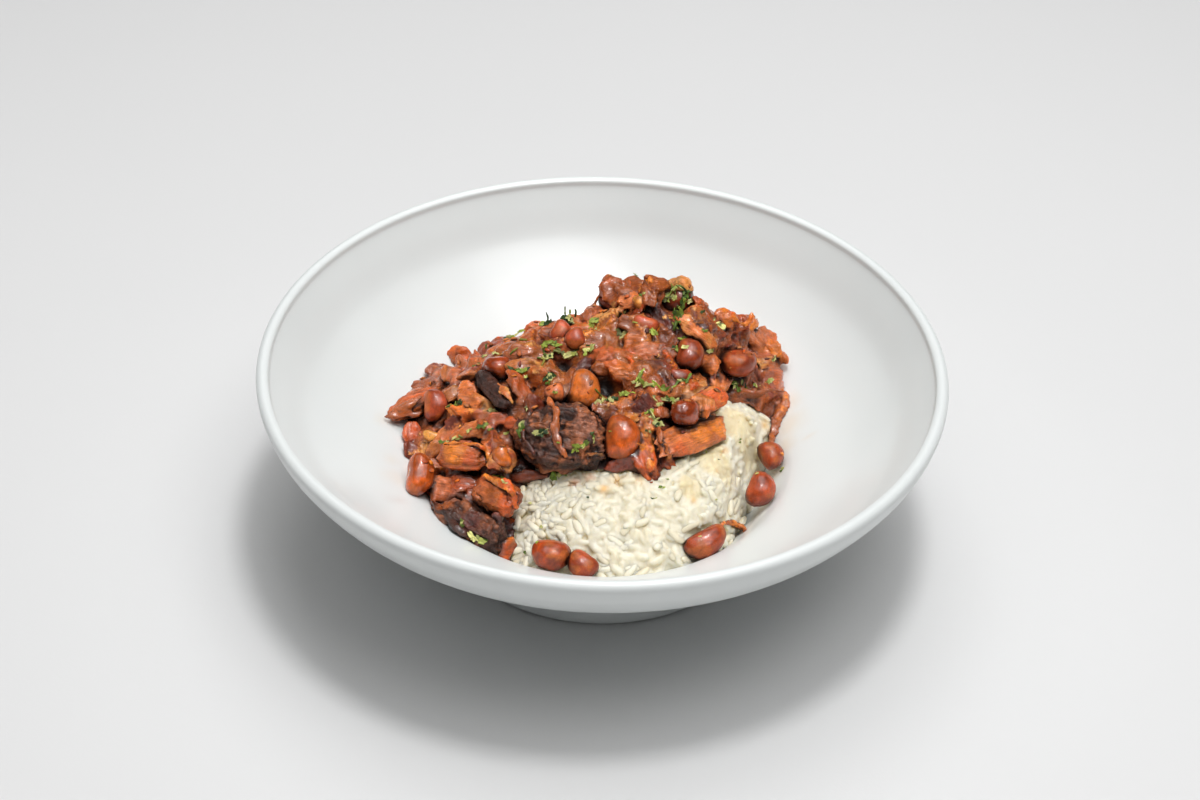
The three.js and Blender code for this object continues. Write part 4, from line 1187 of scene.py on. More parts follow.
# Colour, share of sauce and wetness of each single bean.
SINGLE_BEANS = {
    "bean_front": (BEAN_HERO, -0.15, 0.6), "bean_middle": (BEAN_ORANGE, -0.15, 0.7),
    "bean_glossy": (BEAN_DARK, -0.2, 1.0), "bean_right": (BEAN_RED, 0.15, 0.5),
    "bean_dark": (BEAN_DARK, 0.35, 0.5), "bean_peak": (BEAN_PINK, 0.1, 0.3),
    "bean_crest": (BEAN_DARK, 0.0, 0.6), "bean_shiny": (BEAN_RED, -0.2, 1.0),
    "bean_left": (BEAN_PINK, 0.1, 0.5), "bean_far_left": (BEAN_HERO, -0.05, 1.0),
    "bean_right_upper": (BEAN_RED, 0.15, 0.6), "bean_right_lower": (BEAN_RED, 0.15, 0.6),
    "bean_front_right": (BEAN_RED, 0.25, 0.6), "bean_front_left": (BEAN_RED, 0.35, 0.6),
    "bean_front_left_inner": (BEAN_RED, 0.3, 0.5),
}


def build_single_beans():
    """Each single bean in the place and size of its node."""
    for seed, (name, (base, cover, wet)) in enumerate(SINGLE_BEANS.items(), 3):
        middle, size, axes = bean_axes(name)
        batch = Batch()
        add_bean(batch, size * 1.01, middle, axes, base, seed, cover, wet, (56, 44))
        batch.piece(name + "_skin", BEAN_FINISH, "bean_skin", [name])


# ---------------------------------------------------------------- meat


def meat_shape(size, sides, rings, seed, edge, fray=1.0):
    """A torn lump of meat along X, with fibres that come apart at its ends."""
    unit, faces = ball(sides, rings)
    full = full_ball(unit, edge)
    rough = 1 + 0.2 * noise(full * 2.2 + seed)
    across = noise(np.column_stack([full[:, 0] * 0.9 + seed, full[:, 1:] * 3.4]))
    fine = noise(np.column_stack([full[:, 0] * 1.6 - seed, full[:, 1:] * 7.5]))
    rough += fray * (0.10 * across + 0.055 * fine)
    ends = smoothstep(0.45, 1.0, abs(full[:, 0]))
    pull = noise(np.column_stack([np.sign(full[:, 0]) * 3 + seed, full[:, 1:] * 4.5]))
    points = full * rough[:, None]
    points[:, 0] *= 1 + fray * 0.3 * ends * pull
    points[:, 1:] *= (1 - 0.35 * fray * ends * (0.5 + 0.5 * across))[:, None]
    return points * np.array(size) / 2, faces, across, fine


def meat_tint(points, across, fine, base, other, seed, share=0.6):
    """Meat's colour: streaks along the fibres and clouds of a second colour."""
    cloud = layered(points * 0.2 + seed * 2.3, 3)
    tint = mix(base, other, share * smoothstep(-0.25, 0.5, cloud + 0.35 * across))
    return tint * (1 + 0.14 * fine)[:, None]


def patched(points, tint):
    """The colour of food with the patches of other colours laid over it."""
    for px, py, reach, colour, share in PATCHES:
        ragged = away_from(points, px, py) * (1 + 0.35 * noise(points * 0.6))
        tint = mix(tint, colour, share * smoothstep(1.25 * reach, 0.6 * reach, ragged))
    return tint


CHARRED = CHAR_FINISH, "charred_meat"
STEWED = MEAT_FINISH, "stewed_meat"
# Two colours, finish and slot, wetness, share of the second colour and crags of each.
SINGLE_MEATS = {
    "meat_charred": (BARK, SINEW * 1.35, CHARRED, 0.7, 1.0, 1.3),
    "meat_front_left": (BARK, SINEW, CHARRED, 0.7, 0.8, 1.1),
    "meat_slab": (0.9 * CRUST, RED_BROWN, STEWED, 0.85, 0.7, 0.4),
    "meat_curl": (0.85 * CRUST, 0.9 * ORANGE_SKIN, STEWED, 0.9, 0.7, 0.4),
    "meat_flap": (PULP * 0.95, CRUST, STEWED, 0.9, 0.6, 0.3),
    "meat_bark": (BARK, CHAR_AND_SHADE_BLACK, CHARRED, 0.5, 0.5, 0.6),
    "meat_wedge": (CRUST, ORANGE_SKIN, STEWED, 0.5, 0.6, 0.5),
    "meat_crumb": (ORANGE_SKIN, PEACH, STEWED, 0.5, 0.6, 0.4),
}


def build_single_meats():
    """Each single piece of meat: its node's form with fibres, crags and torn edges."""
    for seed, (name, row) in enumerate(SINGLE_MEATS.items(), 31):
        base, other, kind, wet, share, crags = row
        node_points, node_faces = node_mesh(name)
        solid = bare_mesh(name, node_points, [node_faces])
        points, faces, normals = remeshed(solid, MEAT_VOXEL, 6)
        centre, axes = main_axes(points)
        local = (points - centre) @ axes
        streak = np.array([0.12, 0.8, 0.8])
        across = noise(local * streak + seed)
        fine = noise(local * streak * 2.4 - seed)
        crag = layered(local * 0.3 + seed * 1.9, 3)
        ridge = 1 - 2.4 * abs(noise(local * 0.42 + seed * 3.3))
        grit = noise(local * 1.3 + seed * 0.7)
        rise = ((0.25 + 0.3 * crags) * across + (0.12 + 0.26 * crags) * fine
                + crags * (0.5 * crag + 0.4 * ridge + 0.12 * grit))
        placed = settle(points + normals * rise[:, None])
        tint = meat_tint(local, across, fine, base, other, seed, share)
        # Painted shade: the hollows between the crags are darkened towards the near-black.
        tint = mix(tint * (1 + 0.3 * crags * np.clip(grit, -0.5, 1))[:, None], CHAR_AND_SHADE_BLACK,
                   0.75 * smoothstep(0.1, 0.85, -rise))
        batch = Batch()
        batch.add(placed, faces, patched(placed, tint), local + seed * 9.0, wet)
        batch.piece(name + "_flesh", *kind, [name])


# ---------------------------------------------------------------- the rice


def rice_softness(points):
    """How far the rice runs together at some places, from 0 to 1."""
    soft = np.zeros(points.shape[:-1])
    for px, py, reach, share in RICE_SOFT:
        away = np.linalg.norm(points[..., :2] - seen(px, py)[:2], axis=-1)
        soft = np.maximum(soft, share * smoothstep(1.3 * reach, 0.4 * reach, away))
    return soft


def rice_tint(points, tint):
    """The rice's colour with its creamy part and its stains."""
    tint = mix(tint, RICE_CREAM, 0.75 * smoothstep(0.6, 1.0, rice_softness(points)))
    for px, py, reach, colour, share in RICE_STAINS:
        tint = mix(tint, colour, share * np.exp(-(away_from(points, px, py) / reach) ** 2))
    return tint


def rice_looseness(x, y):
    """How many of the loose grains stay at a place: most at the front left and the foot."""
    left = smoothstep(-2, -24, x)
    foot = smoothstep(7.0, 1.5, sample(RICE_TOP, x, y) - wall_height(x, y))
    return np.clip(0.08 + 0.4 * left + 0.3 * foot, 0, 1) * (1 - rice_softness(np.array([x, y])))


def build_rice():
    """The rice's core and its grains."""
    inside = RICE_TOP > 0
    level = blur(np.where(inside, RICE_TOP, WALL - 1.0), 0.9)
    bumps = layered(across_plan(1.9, 3.0), 2)
    soft = rice_softness(GRID)
    top = level + (0.4 - 0.2 * soft) * bumps - RICE_DROP + 0.65 * soft
    under = np.minimum(WALL + 0.1, top - 0.5)
    points, faces = shell(np.maximum(top, WALL + 0.2), under, inside)

    random = np.random.default_rng(SEEDS["rice"])
    unit, ball_faces = ball(10, 10)
    full = full_ball(unit, GRAIN["blunt"])
    spots = np.argwhere((STEW_IN < 0.5) & inside)
    every, sides, count = [points], list(faces), len(points)
    grains = Batch()
    for index in range(GRAIN["sunk"] + GRAIN["loose"]):
        i, j = spots[random.integers(len(spots))]
        x, y = GRID[i, j] + CELL * (random.random(2) - 0.5)
        length = GRAIN["length"] * random.uniform(0.78, 1.14)
        width = GRAIN["width"] * random.uniform(0.88, 1.12)
        axes = frame_on(upward(level, x, y), random.uniform(0, 360))
        tilt, bow = random.normal(0, GRAIN["tip"]), random.uniform(-0.05, 0.05)
        lift, warmth, keep = random.random(), random.random() ** 2, random.random()
        body = full * np.array([length, width, width * GRAIN["flat"]]) / 2
        body[:, 1] += bow * body[:, 0] ** 2
        body[:, 2] += tilt * body[:, 0]
        body[:, 1:] *= (1 + 0.06 * noise(body * 0.8 + index))[:, None]
        if index < GRAIN["sunk"]:
            height = sample(level, x, y) - RICE_DROP + 0.8 * lift - 0.7 * sample(soft, x, y)
            every.append(settle(body @ axes.T + (x, y, height)))
            sides.extend(face + count for face in ball_faces)
            count += len(body)
            continue
        crowd = rice_looseness(x, y)
        if keep > crowd:
            continue
        height = sample(level, x, y) - 0.35 + 1.2 * lift * crowd
        body = settle(body @ axes.T + (x, y, height))
        tint = 1.04 * mix(RICE, RICE_SHADE, np.full(len(body), 0.35 * warmth))
        grains.add(body, ball_faces, rice_tint(body, tint), body)
    points, faces, _ = remeshed(bare_mesh("rice", np.vstack(every), sides), RICE_VOXEL, 1)
    core = Batch()
    tint = mix(RICE, RICE_SHADE, np.clip(0.1 + 0.16 * noise(points / 3.0), 0, 1))
    core.add(settle(points), faces, rice_tint(points, tint))
    core.piece("rice_core", RICE_FINISH, "cooked_rice", ["rice"])
    grains.piece("rice_grains", GRAIN_FINISH, "cooked_rice")


# ---------------------------------------------------------------- the stew


def zone_tint(x, y):
    """The stew's own colour at places in plan."""
    x, y = np.asarray(x, float), np.asarray(y, float)
    total, weight = 0, 1e-9
    for zone_x, zone_y, reach, tint in ZONES:
        near = np.exp(-((x - zone_x) ** 2 + (y - zone_y) ** 2) / (2 * (0.6 * reach) ** 2))
        total = total + near[..., None] * tint
        weight = weight + near
    return total / weight[..., None]


SINGLE_BOXES = [
    tuple(np.array(corner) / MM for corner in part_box(name))
    for name in [*SINGLE_BEANS, *SINGLE_MEATS]
]


def clear_of_singles(x, y, room):
    """Whether a place is clear of every single bean and piece of meat."""
    for low, high in SINGLE_BOXES:
        out_x = max(low[0] - x, x - high[0])
        out_y = max(low[1] - y, y - high[1])
        if max(out_x, out_y) < room:
            return False
    return True


def hidden(x, y):
    """Whether the heap's top at a place in plan can't be seen in the picture."""
    point = np.array([x, y, sample(FOOD_TOP, x, y) + 8.0])
    way = EYE - point
    return FOOD.ray_cast(Vector(point), Vector(way / np.linalg.norm(way)))[0] is not None


def spread_over(random, fill, allowed):
    """Places in plan where `allowed` says, with a fill's spacing and number of tries."""
    left, right, front, back = HEAP_AREA
    spacing, tries = fill
    places = []
    for _ in range(tries):
        x, y = random.uniform(left, right), random.uniform(front, back)
        if not allowed(x, y):
            continue
        if all((x - p) ** 2 + (y - q) ** 2 > spacing ** 2 for p, q in places):
            places.append((x, y))
    return places


def hollow_spots():
    """The place, outward direction and reach in millimetres of each hollow with painted shade."""
    for px, py, radius in HOLLOWS:
        point, axes, unit, _ = lay(px, py, 0)
        yield point, axes[:, 2], radius * unit


HOLLOW_SPOTS = list(hollow_spots())


def from_hollows(x, y):
    """How far away the nearest dark hollow is in plan."""
    return min(math.dist((x, y), point[:2]) for point, _, _ in HOLLOW_SPOTS)


def bare_stew(laid, inside, gaps):
    """Whether the stew is bare at a place: `laid` holds the lumps' places in plan."""
    hollow_gap, lump_gaps = gaps

    def allowed(x, y):
        if sample(STEW_IN, x, y) <= inside or not clear_of_singles(x, y, 1.0):
            return False
        near = np.min(np.hypot(laid[:, 0] - x, laid[:, 1] - y))
        return from_hollows(x, y) > hollow_gap and near > lump_gaps[hidden(x, y)]

    return allowed


def stew_block():
    """The sauce and shreds under the stew's lumps, as one closed block."""
    level = np.where(STEW_TOP > 0, STEW_TOP, BED)
    edge = smoothstep(0.35, 0.9, STEW_IN)
    relief = 0.8 * layered(across_plan(3.4, 9.0), 3)
    top = blur(level, 1.2) + edge * (relief - CORE_DROP)
    for point, _, reach in HOLLOW_SPOTS:
        away = np.hypot(GRID[..., 0] - point[0], GRID[..., 1] - point[1])
        top -= HOLLOW_DEPTH * edge * np.exp(-(away / reach) ** 2)
    wobble = noise(across_plan(3.0, 4.0))
    mask = STEW_IN + 0.12 * wobble > 0.42
    top = np.maximum(top, BED + 0.3)
    under = np.maximum(np.minimum(BED - 0.6, top - 0.6), WALL + 0.02)
    points, faces = shell(np.maximum(top, under + 0.3), under, mask)
    shade = layered(points / 5.0, 3)
    tint = zone_tint(points[:, 0], points[:, 1]) * (0.8 + 0.25 * shade)[:, None]
    return points, faces, tint


def stew_lumps():
    """The lumps of meat and pulp: size, middle, axes and colours of each."""
    random = np.random.default_rng(SEEDS["lumps"])
    lumps = []
    for px, py, long, wide, angle, base, other, proud in LUMPS:
        point, axes, unit_long, unit_wide = lay(px, py, angle)
        length, width = long * unit_long, wide * unit_wide
        thick = np.clip(0.55 * min(length, width), 2.2, 5.0)
        centre = point + axes[:, 2] * (0.85 * proud - thick / 2)
        axes = tipped(axes, *random.normal(0, LUMP_TILT, 2))
        lumps.append(((1.2 * length, 1.25 * width, thick), centre, axes, base, other))
    bare = bare_stew(np.array([lump[1][:2] for lump in lumps]), 0.8, LUMP_GAPS)
    others = [PEACH, TAN, PLUM, ORANGE_SKIN, PULP, SAUCE]
    for x, y in spread_over(random, LUMP_FILL, bare):
        size = random.uniform(*LUMP_SIZE)
        point, axes = rest(x, y, random.uniform(0, 360))
        centre = point + axes[:, 2] * (random.uniform(0.2, 2.2) - size[2] / 2)
        axes = tipped(axes, *random.normal(0, LUMP_TILT, 2))
        base = zone_tint(x, y) * random.uniform(0.85, 1.15)
        lumps.append((size, centre, axes, base, others[random.integers(len(others))]))
    return lumps


def build_stew_mass():
    """The stew's sauce, shreds and lumps, run together into one closed body."""
    points, faces, tint = stew_block()
    every, sides, tints = [points], list(faces), [tint]
    owner = [np.zeros(len(points), int)]
    middles, frames = [np.zeros(3)], [np.eye(3)]

    def join(points, faces, tint, centre, axes):
        every.append(settle(points))
        sides.extend(face + sum(map(len, every[:-1])) for face in faces)
        tints.append(tint)
        owner.append(np.full(len(points), len(middles)))
        middles.append(centre)
        frames.append(axes)

    for seed, (size, centre, axes, base, other) in enumerate(stew_lumps(), 1):
        points, faces, across, fine = meat_shape(size, 26, 20, seed, 2.5)
        tint = meat_tint(points, across, fine, base, other, seed)
        tint *= 1 + 0.25 * math.sin(seed * 2.4)
        join(points @ axes.T + centre, faces, tint, centre, axes)
    polygons = [face for part in sides for face in part.tolist()]
    tree = BVHTree.FromPolygons(np.vstack(every).tolist(), polygons)
    for points, faces, tint, centre, axes in stew_strands() + shred_bundles(tree):
        join(points, faces, tint, centre, axes)
    every = np.vstack(every)
    for reach, shift in ((5.5, 1.3), (2.4, 0.5)):
        every += shift * np.column_stack([noise(every / reach + 31.7 * k) for k in range(3)])
    every = settle(every)
    tree = KDTree(len(every))
    for index, point in enumerate(every.tolist()):
        tree.insert(point, index)
    tree.balance()
    points, faces, normals = remeshed(bare_mesh("stew", every, sides), STEW_VOXEL, 2)
    nearest = np.array([tree.find(point)[1] for point in points.tolist()])
    owner = np.concatenate(owner)[nearest]
    local = np.einsum("ij,ijk->ik", points - np.array(middles)[owner], np.array(frames)[owner])
    fibres = noise(local * np.array([0.14, 0.9, 0.9]))
    grit = layered(points * 0.75, 2)
    bent = points / 3.4 + 0.6 * np.column_stack([noise(points / 3.9 + k * 9.1) for k in range(3)])
    ridge = 1 - 2.2 * abs(noise(bent))
    film = smoothstep(-0.1, 0.5, layered(points * 0.13 + 5.0, 3))
    rise = 0.36 * fibres + (0.16 * grit + 0.26 * ridge) * (1 - 0.7 * film)
    points = settle(points + normals * rise[:, None])
    tint = np.vstack(tints)[nearest] * (1 + 0.28 * fibres)[:, None]
    own = zone_tint(points[:, 0], points[:, 1])
    tint = patched(points, mix(tint, own, 0.4 * film))
    # Each hollow is pushed in and painted near-black: painted shade.
    for point, out, reach in HOLLOW_SPOTS:
        gap = points - point
        down = -gap @ out
        flat = np.linalg.norm(gap + down[:, None] * out, axis=1) / reach
        inside = smoothstep(1.35, 0.85, flat) * smoothstep(-2.5, 0.5, down)
        away = np.linalg.norm(gap, axis=1) / reach
        points -= out * (HOLLOW_PUSH * np.exp(-(away / 1.15) ** 2))[:, None]
        tint = mix(tint, 0.5 * CHAR_AND_SHADE_BLACK, 0.97 * np.maximum(inside, smoothstep(1.5, 0.8, away)))
    batch = Batch()
    batch.add(settle(points), faces, tint, local, 0.55 + 0.4 * film)
    batch.piece("stew_mass", STEW_FINISH, "stew", ["bean_stew"])


def smooth_path(path, steps):
    """A smooth curve through a path's points."""
    path = np.array(path, float)
    if len(path) == 2:
        path = np.vstack([path[0], path.mean(0), path[1]])
    return smooth_profile(path, steps)


def laid_path(path, tree, leap=LEAP):
    """The longest stretch of a path of the picture that lies on one surface."""
    marks = smooth_path(path, 5)
    ways = [sight(px, py) for px, py in marks]
    hits = [look(tree, way) for way in ways]
    met = [index for index, hit in enumerate(hits) if hit is not None]
    far = [np.linalg.norm(np.array(hits[index]) - EYE) for index in met]
    depth = np.interp(range(len(ways)), met, far)
    leaps = np.flatnonzero(abs(np.diff(depth)) > leap)
    edges = [0, *(leaps + 1), len(ways)]
    first, last = max(zip(edges, edges[1:]), key=lambda pair: pair[1] - pair[0])
    return EYE + np.array(ways)[first:last] * evened(depth[first:last])[:, None]


def strand(path, width, thick, base, other, seed, ends=0.35):
    """A strand along points in millimetres with its two colours: points, faces and tint."""
    run = np.linspace(0, 1, len(path))
    taper = ends + (1 - ends) * np.sqrt(np.clip(4 * run * (1 - run), 0, 1))
    taper *= 1 + 0.3 * noise(np.column_stack([run * 5 + seed, run * 0 + 3, run * 0 + seed]))
    points, faces, around = tube(path, width * taper, thick * taper, 10, seed)
    cloud = layered(points * 0.35 + seed, 2)
    tint = mix(base, other, smoothstep(-0.3, 0.5, cloud)) * (1 + 0.2 * around)[:, None]
    return points, faces, tint


def food_pieces(starts=("rice_", "stew_")):
    """The names of the single beans and meats made so far, and of heaps that start so."""
    return [name for name in bpy.data.objects.keys()
            if name.endswith(("_skin", "_flesh")) or name.startswith(starts)]


class Surfaces:
    """The made pieces, for casting small things onto what really shows."""

    def __init__(self, names):
        bpy.context.view_layer.update()
        graph = bpy.context.evaluated_depsgraph_get()
        self.trees = [BVHTree.FromObject(bpy.data.objects[name], graph) for name in names]

    def ray_cast(self, start, way):
        """The nearest place, in millimetres, that a ray meets, and the normal there."""
        best = (None, None)
        for tree in self.trees:
            place, normal, _, away = tree.ray_cast(start * MM, way)
            if place is not None and (best[0] is None or away < best[2]):
                best = (place / MM, normal, away)
        return best[:2]


def stew_strands():
    """Strands, skins and torn edges over the stew, and the sauce beside the rice."""
    strands = []
    under = Surfaces(food_pieces(()) + ["bean_stew"])
    for seed, (path, width, base, other) in enumerate(STRANDS + TRAILS, 1):
        trail = seed > len(STRANDS)
        places = laid_path(path, DISH, TRAIL_LEAP) if trail else laid_path(path, under)
        unit = point_size(places[0])
        middle = places[len(places) // 2]
        out = outward(middle, 0.5)
        thick = 2.6 if trail else max(0.5 * width * unit, 1.2)
        places = places + out * (0.8 if trail else 0.9)
        strands.append((*strand(places, 1.1 * width * unit, thick, base, other, seed),
                        middle, axes_on(out, places[-1] - places[0])))
    return strands


def shred_bundles(tree):
    """Bundles of pulled meat over the lumps: most of them where the picture doesn't reach."""
    random = np.random.default_rng(SEEDS["shreds"])
    laid = np.array([seen(px, py)[:2] for px, py, *_ in LUMPS])
    bare = bare_stew(laid, 0.85, SHRED_GAPS)
    bundles = []
    for seed, (x, y) in enumerate(spread_over(random, SHRED_FILL, bare), 300):
        heading, bend = random.uniform(0, 6.3), random.normal(0, 0.07)
        base, other = random.integers(len(SHRED_COLOURS), size=2)
        strips = random.integers(3, 6)
        for strip in range(strips):
            length, width = random.uniform(*SHRED_SIZE)
            aside = 1.3 * (strip - (strips - 1) / 2) + random.normal(0, 0.2)
            run = np.arange(0, length, 1.0) - length / 2 + random.normal(0, 1.2)
            turn = heading + bend * run + random.normal(0, 0.12)
            xs = x + run * np.cos(turn) - aside * math.sin(heading)
            ys = y + run * np.sin(turn) + aside * math.cos(heading)
            landed = [drop(tree, *place)[0] for place in zip(xs, ys)]
            if None in landed:
                continue
            zs = evened(np.array([place.z for place in landed])) + 0.3
            path = np.column_stack([xs, ys, zs])
            middle = path[len(path) // 2]
            axes = axes_on(outward(middle, 0.0), path[-1] - path[0])
            tone = SHRED_COLOURS[base] * random.uniform(0.8, 1.15)
            bundles.append((*strand(path, width, 0.8 * width, tone, SHRED_COLOURS[other],
                                    seed + 7 * strip), middle, axes))
    return bundles


def build_held_beans():
    """Beans held in the sauce: those that the picture shows, and more at the back."""
    batch = Batch()
    for seed, (px, py, long, wide, angle, base, proud, *sauce) in enumerate(HELD_BEANS, 40):
        point, axes, unit_long, unit_wide = lay(px, py, angle, lean=0.6)
        size = np.array([long * unit_long, wide * unit_wide, 0.85 * wide * unit_wide])
        middle = point + axes[:, 2] * (proud - size[2] / 2)
        add_bean(batch, size, middle, axes, base, seed, *sauce)
    random = np.random.default_rng(SEEDS["beans"])

    def back(x, y):
        return sample(STEW_IN, x, y) > 0.92 and clear_of_singles(x, y, 2.0) and hidden(x, y)

    bases = [BEAN_RED, BEAN_PINK, BEAN_HERO, BEAN_DARK]
    for seed, (x, y) in enumerate(spread_over(random, BEAN_FILL, back), 70):
        size = BEAN_SIZE * random.uniform(0.82, 1.08)
        point, axes = rest(x, y, random.uniform(0, 360))
        add_bean(batch, size, point + axes[:, 2] * (2.6 - size[2] / 2), axes,
                 bases[random.integers(len(bases))], seed, random.uniform(-0.1, 0.2), 0.6)
    batch.piece("stew_beans", BEAN_FINISH, "bean_skin")


# ---------------------------------------------------------------- what lies on top


def build_crumbs(surfaces):
    """Crumbs and shreds on the stew, on every side of it."""
    random = np.random.default_rng(SEEDS["crumbs"])
    batch = Batch()
    colours = [PEACH, TAN, PLUM, ORANGE_SKIN, AMBER, CRUST, RED_BROWN]
    low, high = np.array(HEAP_AREA)[[0, 2]], np.array(HEAP_AREA)[[1, 3]]
    made = 0
    while made < CRUMBS:
        x, y = random.uniform(low, high)
        turn, length = random.uniform(0, 360), random.uniform(*CRUMB_LENGTH)
        slim, tall, sunk, light = random.random(4)
        base, other = random.integers(len(colours), size=2)
        if sample(STEW_IN, x, y) < 0.75:
            continue
        place, normal = drop(surfaces, x, y)
        if place is None:
            continue
        axes = frame_on(np.array(normal), turn)
        size = (length, length * (0.3 + 0.4 * slim), length * (0.25 + 0.25 * tall))
        centre = np.array(place) + axes[:, 2] * size[2] * (0.35 - 0.3 * sunk)
        seed = made + 300
        points, faces, across, fine = meat_shape(size, 10, 8, seed, 2.6, 1.2)
        tone = colours[base] * (0.7 + 0.5 * light)
        tint = meat_tint(points, across, fine, tone, colours[other], seed)
        batch.add(settle(points @ axes.T + centre), faces, tint, points + seed * 9.0, 0.6)
        made += 1
    batch.piece("stew_crumbs", MEAT_FINISH, "stewed_meat")


def add_leaf(batch, point, axes, long, wide, tone, seed):
    """A scrap of parsley: some thin, torn and curled lobes side by side."""
    random = np.random.default_rng(seed + 500)
    unit, faces = ball(12, 6)
    lobes = 1 + (long > 2) + (long > 3.2) + (long > 4.4) + (wide > 2.2)
    plan = unit[:, 1:]
    angle = np.arctan2(plan[:, 1], plan[:, 0])
    for lobe in range(lobes):
        share = (lobe + 0.5) / lobes - 0.5
        middle = np.array([0.8 * long * share, wide * random.uniform(-0.25, 0.25),
                           random.uniform(0.1, 0.5)])
        share = 0.9 if lobes == 1 else random.uniform(0.4, 0.65)
        size = np.array([long * share, wide * random.uniform(0.45, 0.75)])
        turn = random.uniform(-0.9, 0.9) if lobes > 1 else 0.0
        tilt, fold = random.normal(0, 0.3, 2)
        torn = noise(np.column_stack([np.cos(angle) * 2.2 + seed, np.sin(angle) * 2.2,
                                      angle * 0 + lobe]))
        flat = plan * (1 + 0.45 * torn)[:, None] * size / 2
        rise = (0.13 * unit[:, 0] + tilt * flat[:, 0] + (0.3 + fold) * abs(flat[:, 1])
                - 0.05 * flat[:, 0] ** 2)
        cos, sin = math.cos(turn), math.sin(turn)
        points = np.column_stack([flat[:, 0] * cos - flat[:, 1] * sin,
                                  flat[:, 0] * sin + flat[:, 1] * cos, rise]) + middle
        shade = random.uniform(0.7, 1.4) * (1 + 0.3 * torn)
        other = [tone, tone, LEAF_DARK, LEAF_BRIGHT, LEAF_PALE][random.integers(5)]
        tint = mix(tone, other, np.full(len(unit), 0.7))
        batch.add(settle(points @ axes.T + point), faces, tint * shade[:, None],
                  points + seed * 3.0, 0.4)


def build_parsley(surfaces):
    """Chopped parsley: leaf scraps and stems where the picture shows them, and behind."""
    batch = Batch()
    random = np.random.default_rng(SEEDS["leaves"])

    def add_stem(places, width, tone, seed, ends):
        thick = width * point_size(places[0])
        points, faces, tint = strand(places, thick, thick, tone, LEAF, seed, ends)
        batch.add(settle(points), faces, tint)

    for seed, (px, py, long, wide, angle, tone) in enumerate(FLAKES):
        point, axes, unit_long, unit_wide = lay(px, py, angle, surfaces, 0.6)
        lean = axes[:, 2] + random.normal(0, 0.16, 3)
        axes = axes_on(lean / np.linalg.norm(lean), axes[:, 0])
        add_leaf(batch, point, axes, 1.2 * long * unit_long, 1.15 * wide * unit_wide, tone, seed)
    for seed, (path, width, tone) in enumerate(STEMS, 7):
        places = laid_path(path, surfaces)
        add_stem(places + outward(places[0], 0.6) * 0.4, width, tone, seed, 0.5)
    for seed, (path, width, tone) in enumerate(SPRIGS, 27):
        foot = seen(*path[0], surfaces)
        places = np.array([facing(foot, px, py) for px, py in smooth_path(path, 4)])
        add_stem(places, width, tone, seed, 0.4)

    def behind(x, y):
        return sample(STEW_IN, x, y) > 0.9 and hidden(x, y)

    tones = [LEAF_DARK, LEAF, LEAF, LEAF_BRIGHT, LEAF_PALE]
    for seed, (x, y) in enumerate(spread_over(random, LEAF_FILL, behind), 200):
        place, normal = drop(surfaces, x, y)
        axes = frame_on(np.array(normal) + random.normal(0, 0.2, 3), random.uniform(0, 360))
        long = random.uniform(*LEAF_LENGTH)
        add_leaf(batch, np.array(place), axes, long, long * random.uniform(0.4, 0.8),
                 tones[random.integers(len(tones))], seed)
    batch.piece("parsley", HERB, "stew")


def read_mesh(name):
    """A piece's points in millimetres, its normals and its triangles."""
    mesh = bpy.data.objects[name].data
    mesh.calc_loop_triangles()
    sides = np.empty(len(mesh.loop_triangles) * 3, np.int32)
    mesh.loop_triangles.foreach_get("vertices", sides)
    return *mesh_arrays(mesh), sides.reshape(-1, 3)


def paint_crevice_shade(names):
    """Painted shade where the food's pieces close in on each other, and painted light where they
    are open.
    """
    parts = [read_mesh(name) for name in names]
    starts = np.cumsum([0] + [len(points) for points, _, _ in parts])
    triangles = np.vstack([sides + start for (_, _, sides), start in zip(parts, starts)])
    tree = BVHTree.FromPolygons(np.vstack([part[0] for part in parts]).tolist(),
                                triangles.tolist(), all_triangles=True)
    ways = np.random.default_rng(SEEDS["rays"]).normal(size=(CLOSE_RAYS, 3))
    ways /= np.linalg.norm(ways, axis=1)[:, None]
    for name, (points, normals, _) in zip(names, parts):
        close = np.zeros(len(points))
        lifted = (points + CLOSE_LIFT * normals).tolist()
        for way in ways:
            aims = normals + CLOSE_SPREAD * way
            aims /= np.linalg.norm(aims, axis=1)[:, None]
            for index, (start, aim) in enumerate(zip(lifted, aims.tolist())):
                far = tree.ray_cast(start, aim, CLOSE_REACH)[3]
                if far is not None:
                    close[index] += 1 - (far / CLOSE_REACH) ** 2
        close /= CLOSE_RAYS
        layer = bpy.data.objects[name].data.attributes["tint"]
        tint = np.empty(len(points) * 4, np.float32)
        layer.data.foreach_get("color", tint)
        tint = tint.reshape(-1, 4)
        # Painted shade in the rice's crevices.
        if name.startswith("rice"):
            share = (0.6 if name == "rice_grains" else 1.0) * smoothstep(0.15, 0.8, close)
            tint[:, :3] = mix(tint[:, :3], tint[:, :3] * RICE_CREVICE_SHADE, share)
        else:
            # The colour warmed, with painted light on open surfaces; then painted shade in the
            # crevices.
            tint[:, :3] *= WARM * (1 + 0.2 * smoothstep(0.2, 0.0, close))[:, None]
            tint[:, :3] = mix(tint[:, :3], CHAR_AND_SHADE_BLACK, 0.94 * smoothstep(0.13, 0.6, close))
        layer.data.foreach_set("color", tint.ravel())


# ---------------------------------------------------------------- floor, light and camera


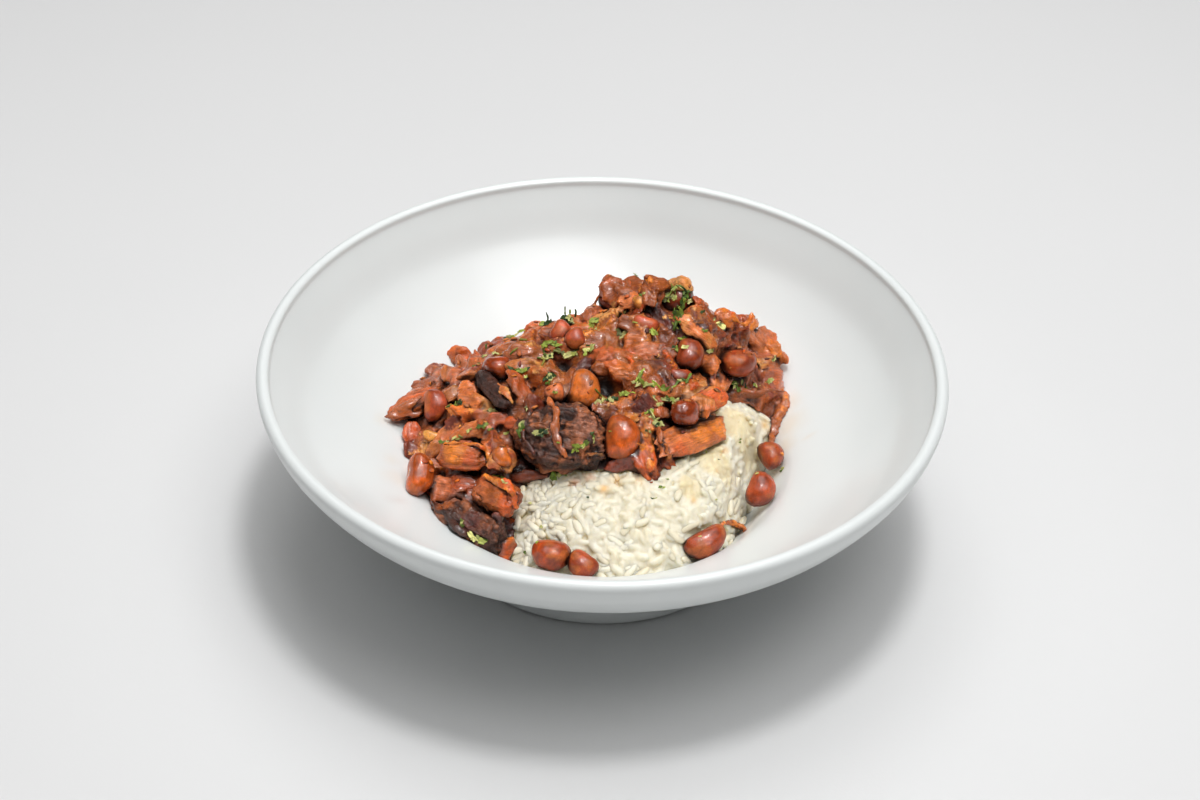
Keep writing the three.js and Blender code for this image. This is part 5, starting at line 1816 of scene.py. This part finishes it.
# Name, place and size in metres, and power in watts of each lamp.
LAMPS = [
    ("key", (0.33, -0.3, 1.4), 0.9, 5.4),
    ("back", (0.0, 0.45, 1.4), 0.9, 5.2),
    ("soft", (0.0, 0.0, 1.4), 2.4, 11.5),
    ("front", (0.0, -1.7, 0.25), 0.6, 1.3),
    ("spark", (0.12, -0.06, 1.35), 0.22, 6.2),
]
FLOOR_HALF = 3.0  # half the floor's width in metres, and how far it lies under the foot
FLOOR_DROP = 0.0002
SKY_POWER = 0.02


def build_stage():
    """A plain pale floor, soft light from above and behind, and the camera."""
    mesh = bpy.data.meshes.new("floor")
    corners = [(-1, -1, 0), (1, -1, 0), (1, 1, 0), (-1, 1, 0)]
    mesh.from_pydata([FLOOR_HALF * Vector(corner) for corner in corners], [], [(0, 1, 2, 3)])
    mesh.materials.append(floor_material())
    floor = bpy.data.objects.new("floor", mesh)
    floor.location.z = -FLOOR_DROP
    bpy.context.scene.collection.objects.link(floor)
    floor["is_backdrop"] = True

    for name, place, size, power in LAMPS:
        light = bpy.data.lights.new(name, "AREA")
        light.shape = "DISK"
        light.size = size
        light.energy = power
        lamp = bpy.data.objects.new(name, light)
        lamp.location = place
        aim = Vector((0, 0, 0.04)) - Vector(place)
        lamp.rotation_euler = aim.to_track_quat("-Z", "Y").to_euler()
        bpy.context.scene.collection.objects.link(lamp)

    world = bpy.data.worlds.new("studio")
    world.use_nodes = True
    sky = world.node_tree.nodes["Background"]
    sky.inputs["Color"].default_value = (1, 1, 1, 1)
    sky.inputs["Strength"].default_value = SKY_POWER
    bpy.context.scene.world = world

    camera = bpy.data.objects.new("camera", bpy.data.cameras.new("camera"))
    camera.data.lens = CAMERA["lens"]
    camera.data.sensor_width = CAMERA["sensor"]
    camera.data.shift_x, camera.data.shift_y = CAMERA["shift"]
    place, target = Vector(CAMERA["place"]) * MM, Vector(CAMERA["target"]) * MM
    turn = (target - place).to_track_quat("-Z", "Y").to_matrix().to_4x4()
    roll = Matrix.Rotation(math.radians(CAMERA["roll"]), 4, "Z")
    camera.matrix_world = Matrix.Translation(place) @ turn @ roll
    bpy.context.scene.collection.objects.link(camera)
    bpy.context.scene.camera = camera
    bpy.context.scene.view_settings.view_transform = "Standard"


# ---------------------------------------------------------------- the whole dish

build_stage()
build_bowl()
build_rice()
build_single_beans()
build_single_meats()
build_stew_mass()
build_held_beans()
SHOWING = Surfaces(food_pieces())
build_crumbs(SHOWING)
build_parsley(SHOWING)
paint_crevice_shade(food_pieces())

boxes = {"cad": CAD_BOX, "visual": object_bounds()}
{key: [list(corner) for corner in box] for key, box in boxes.items()}
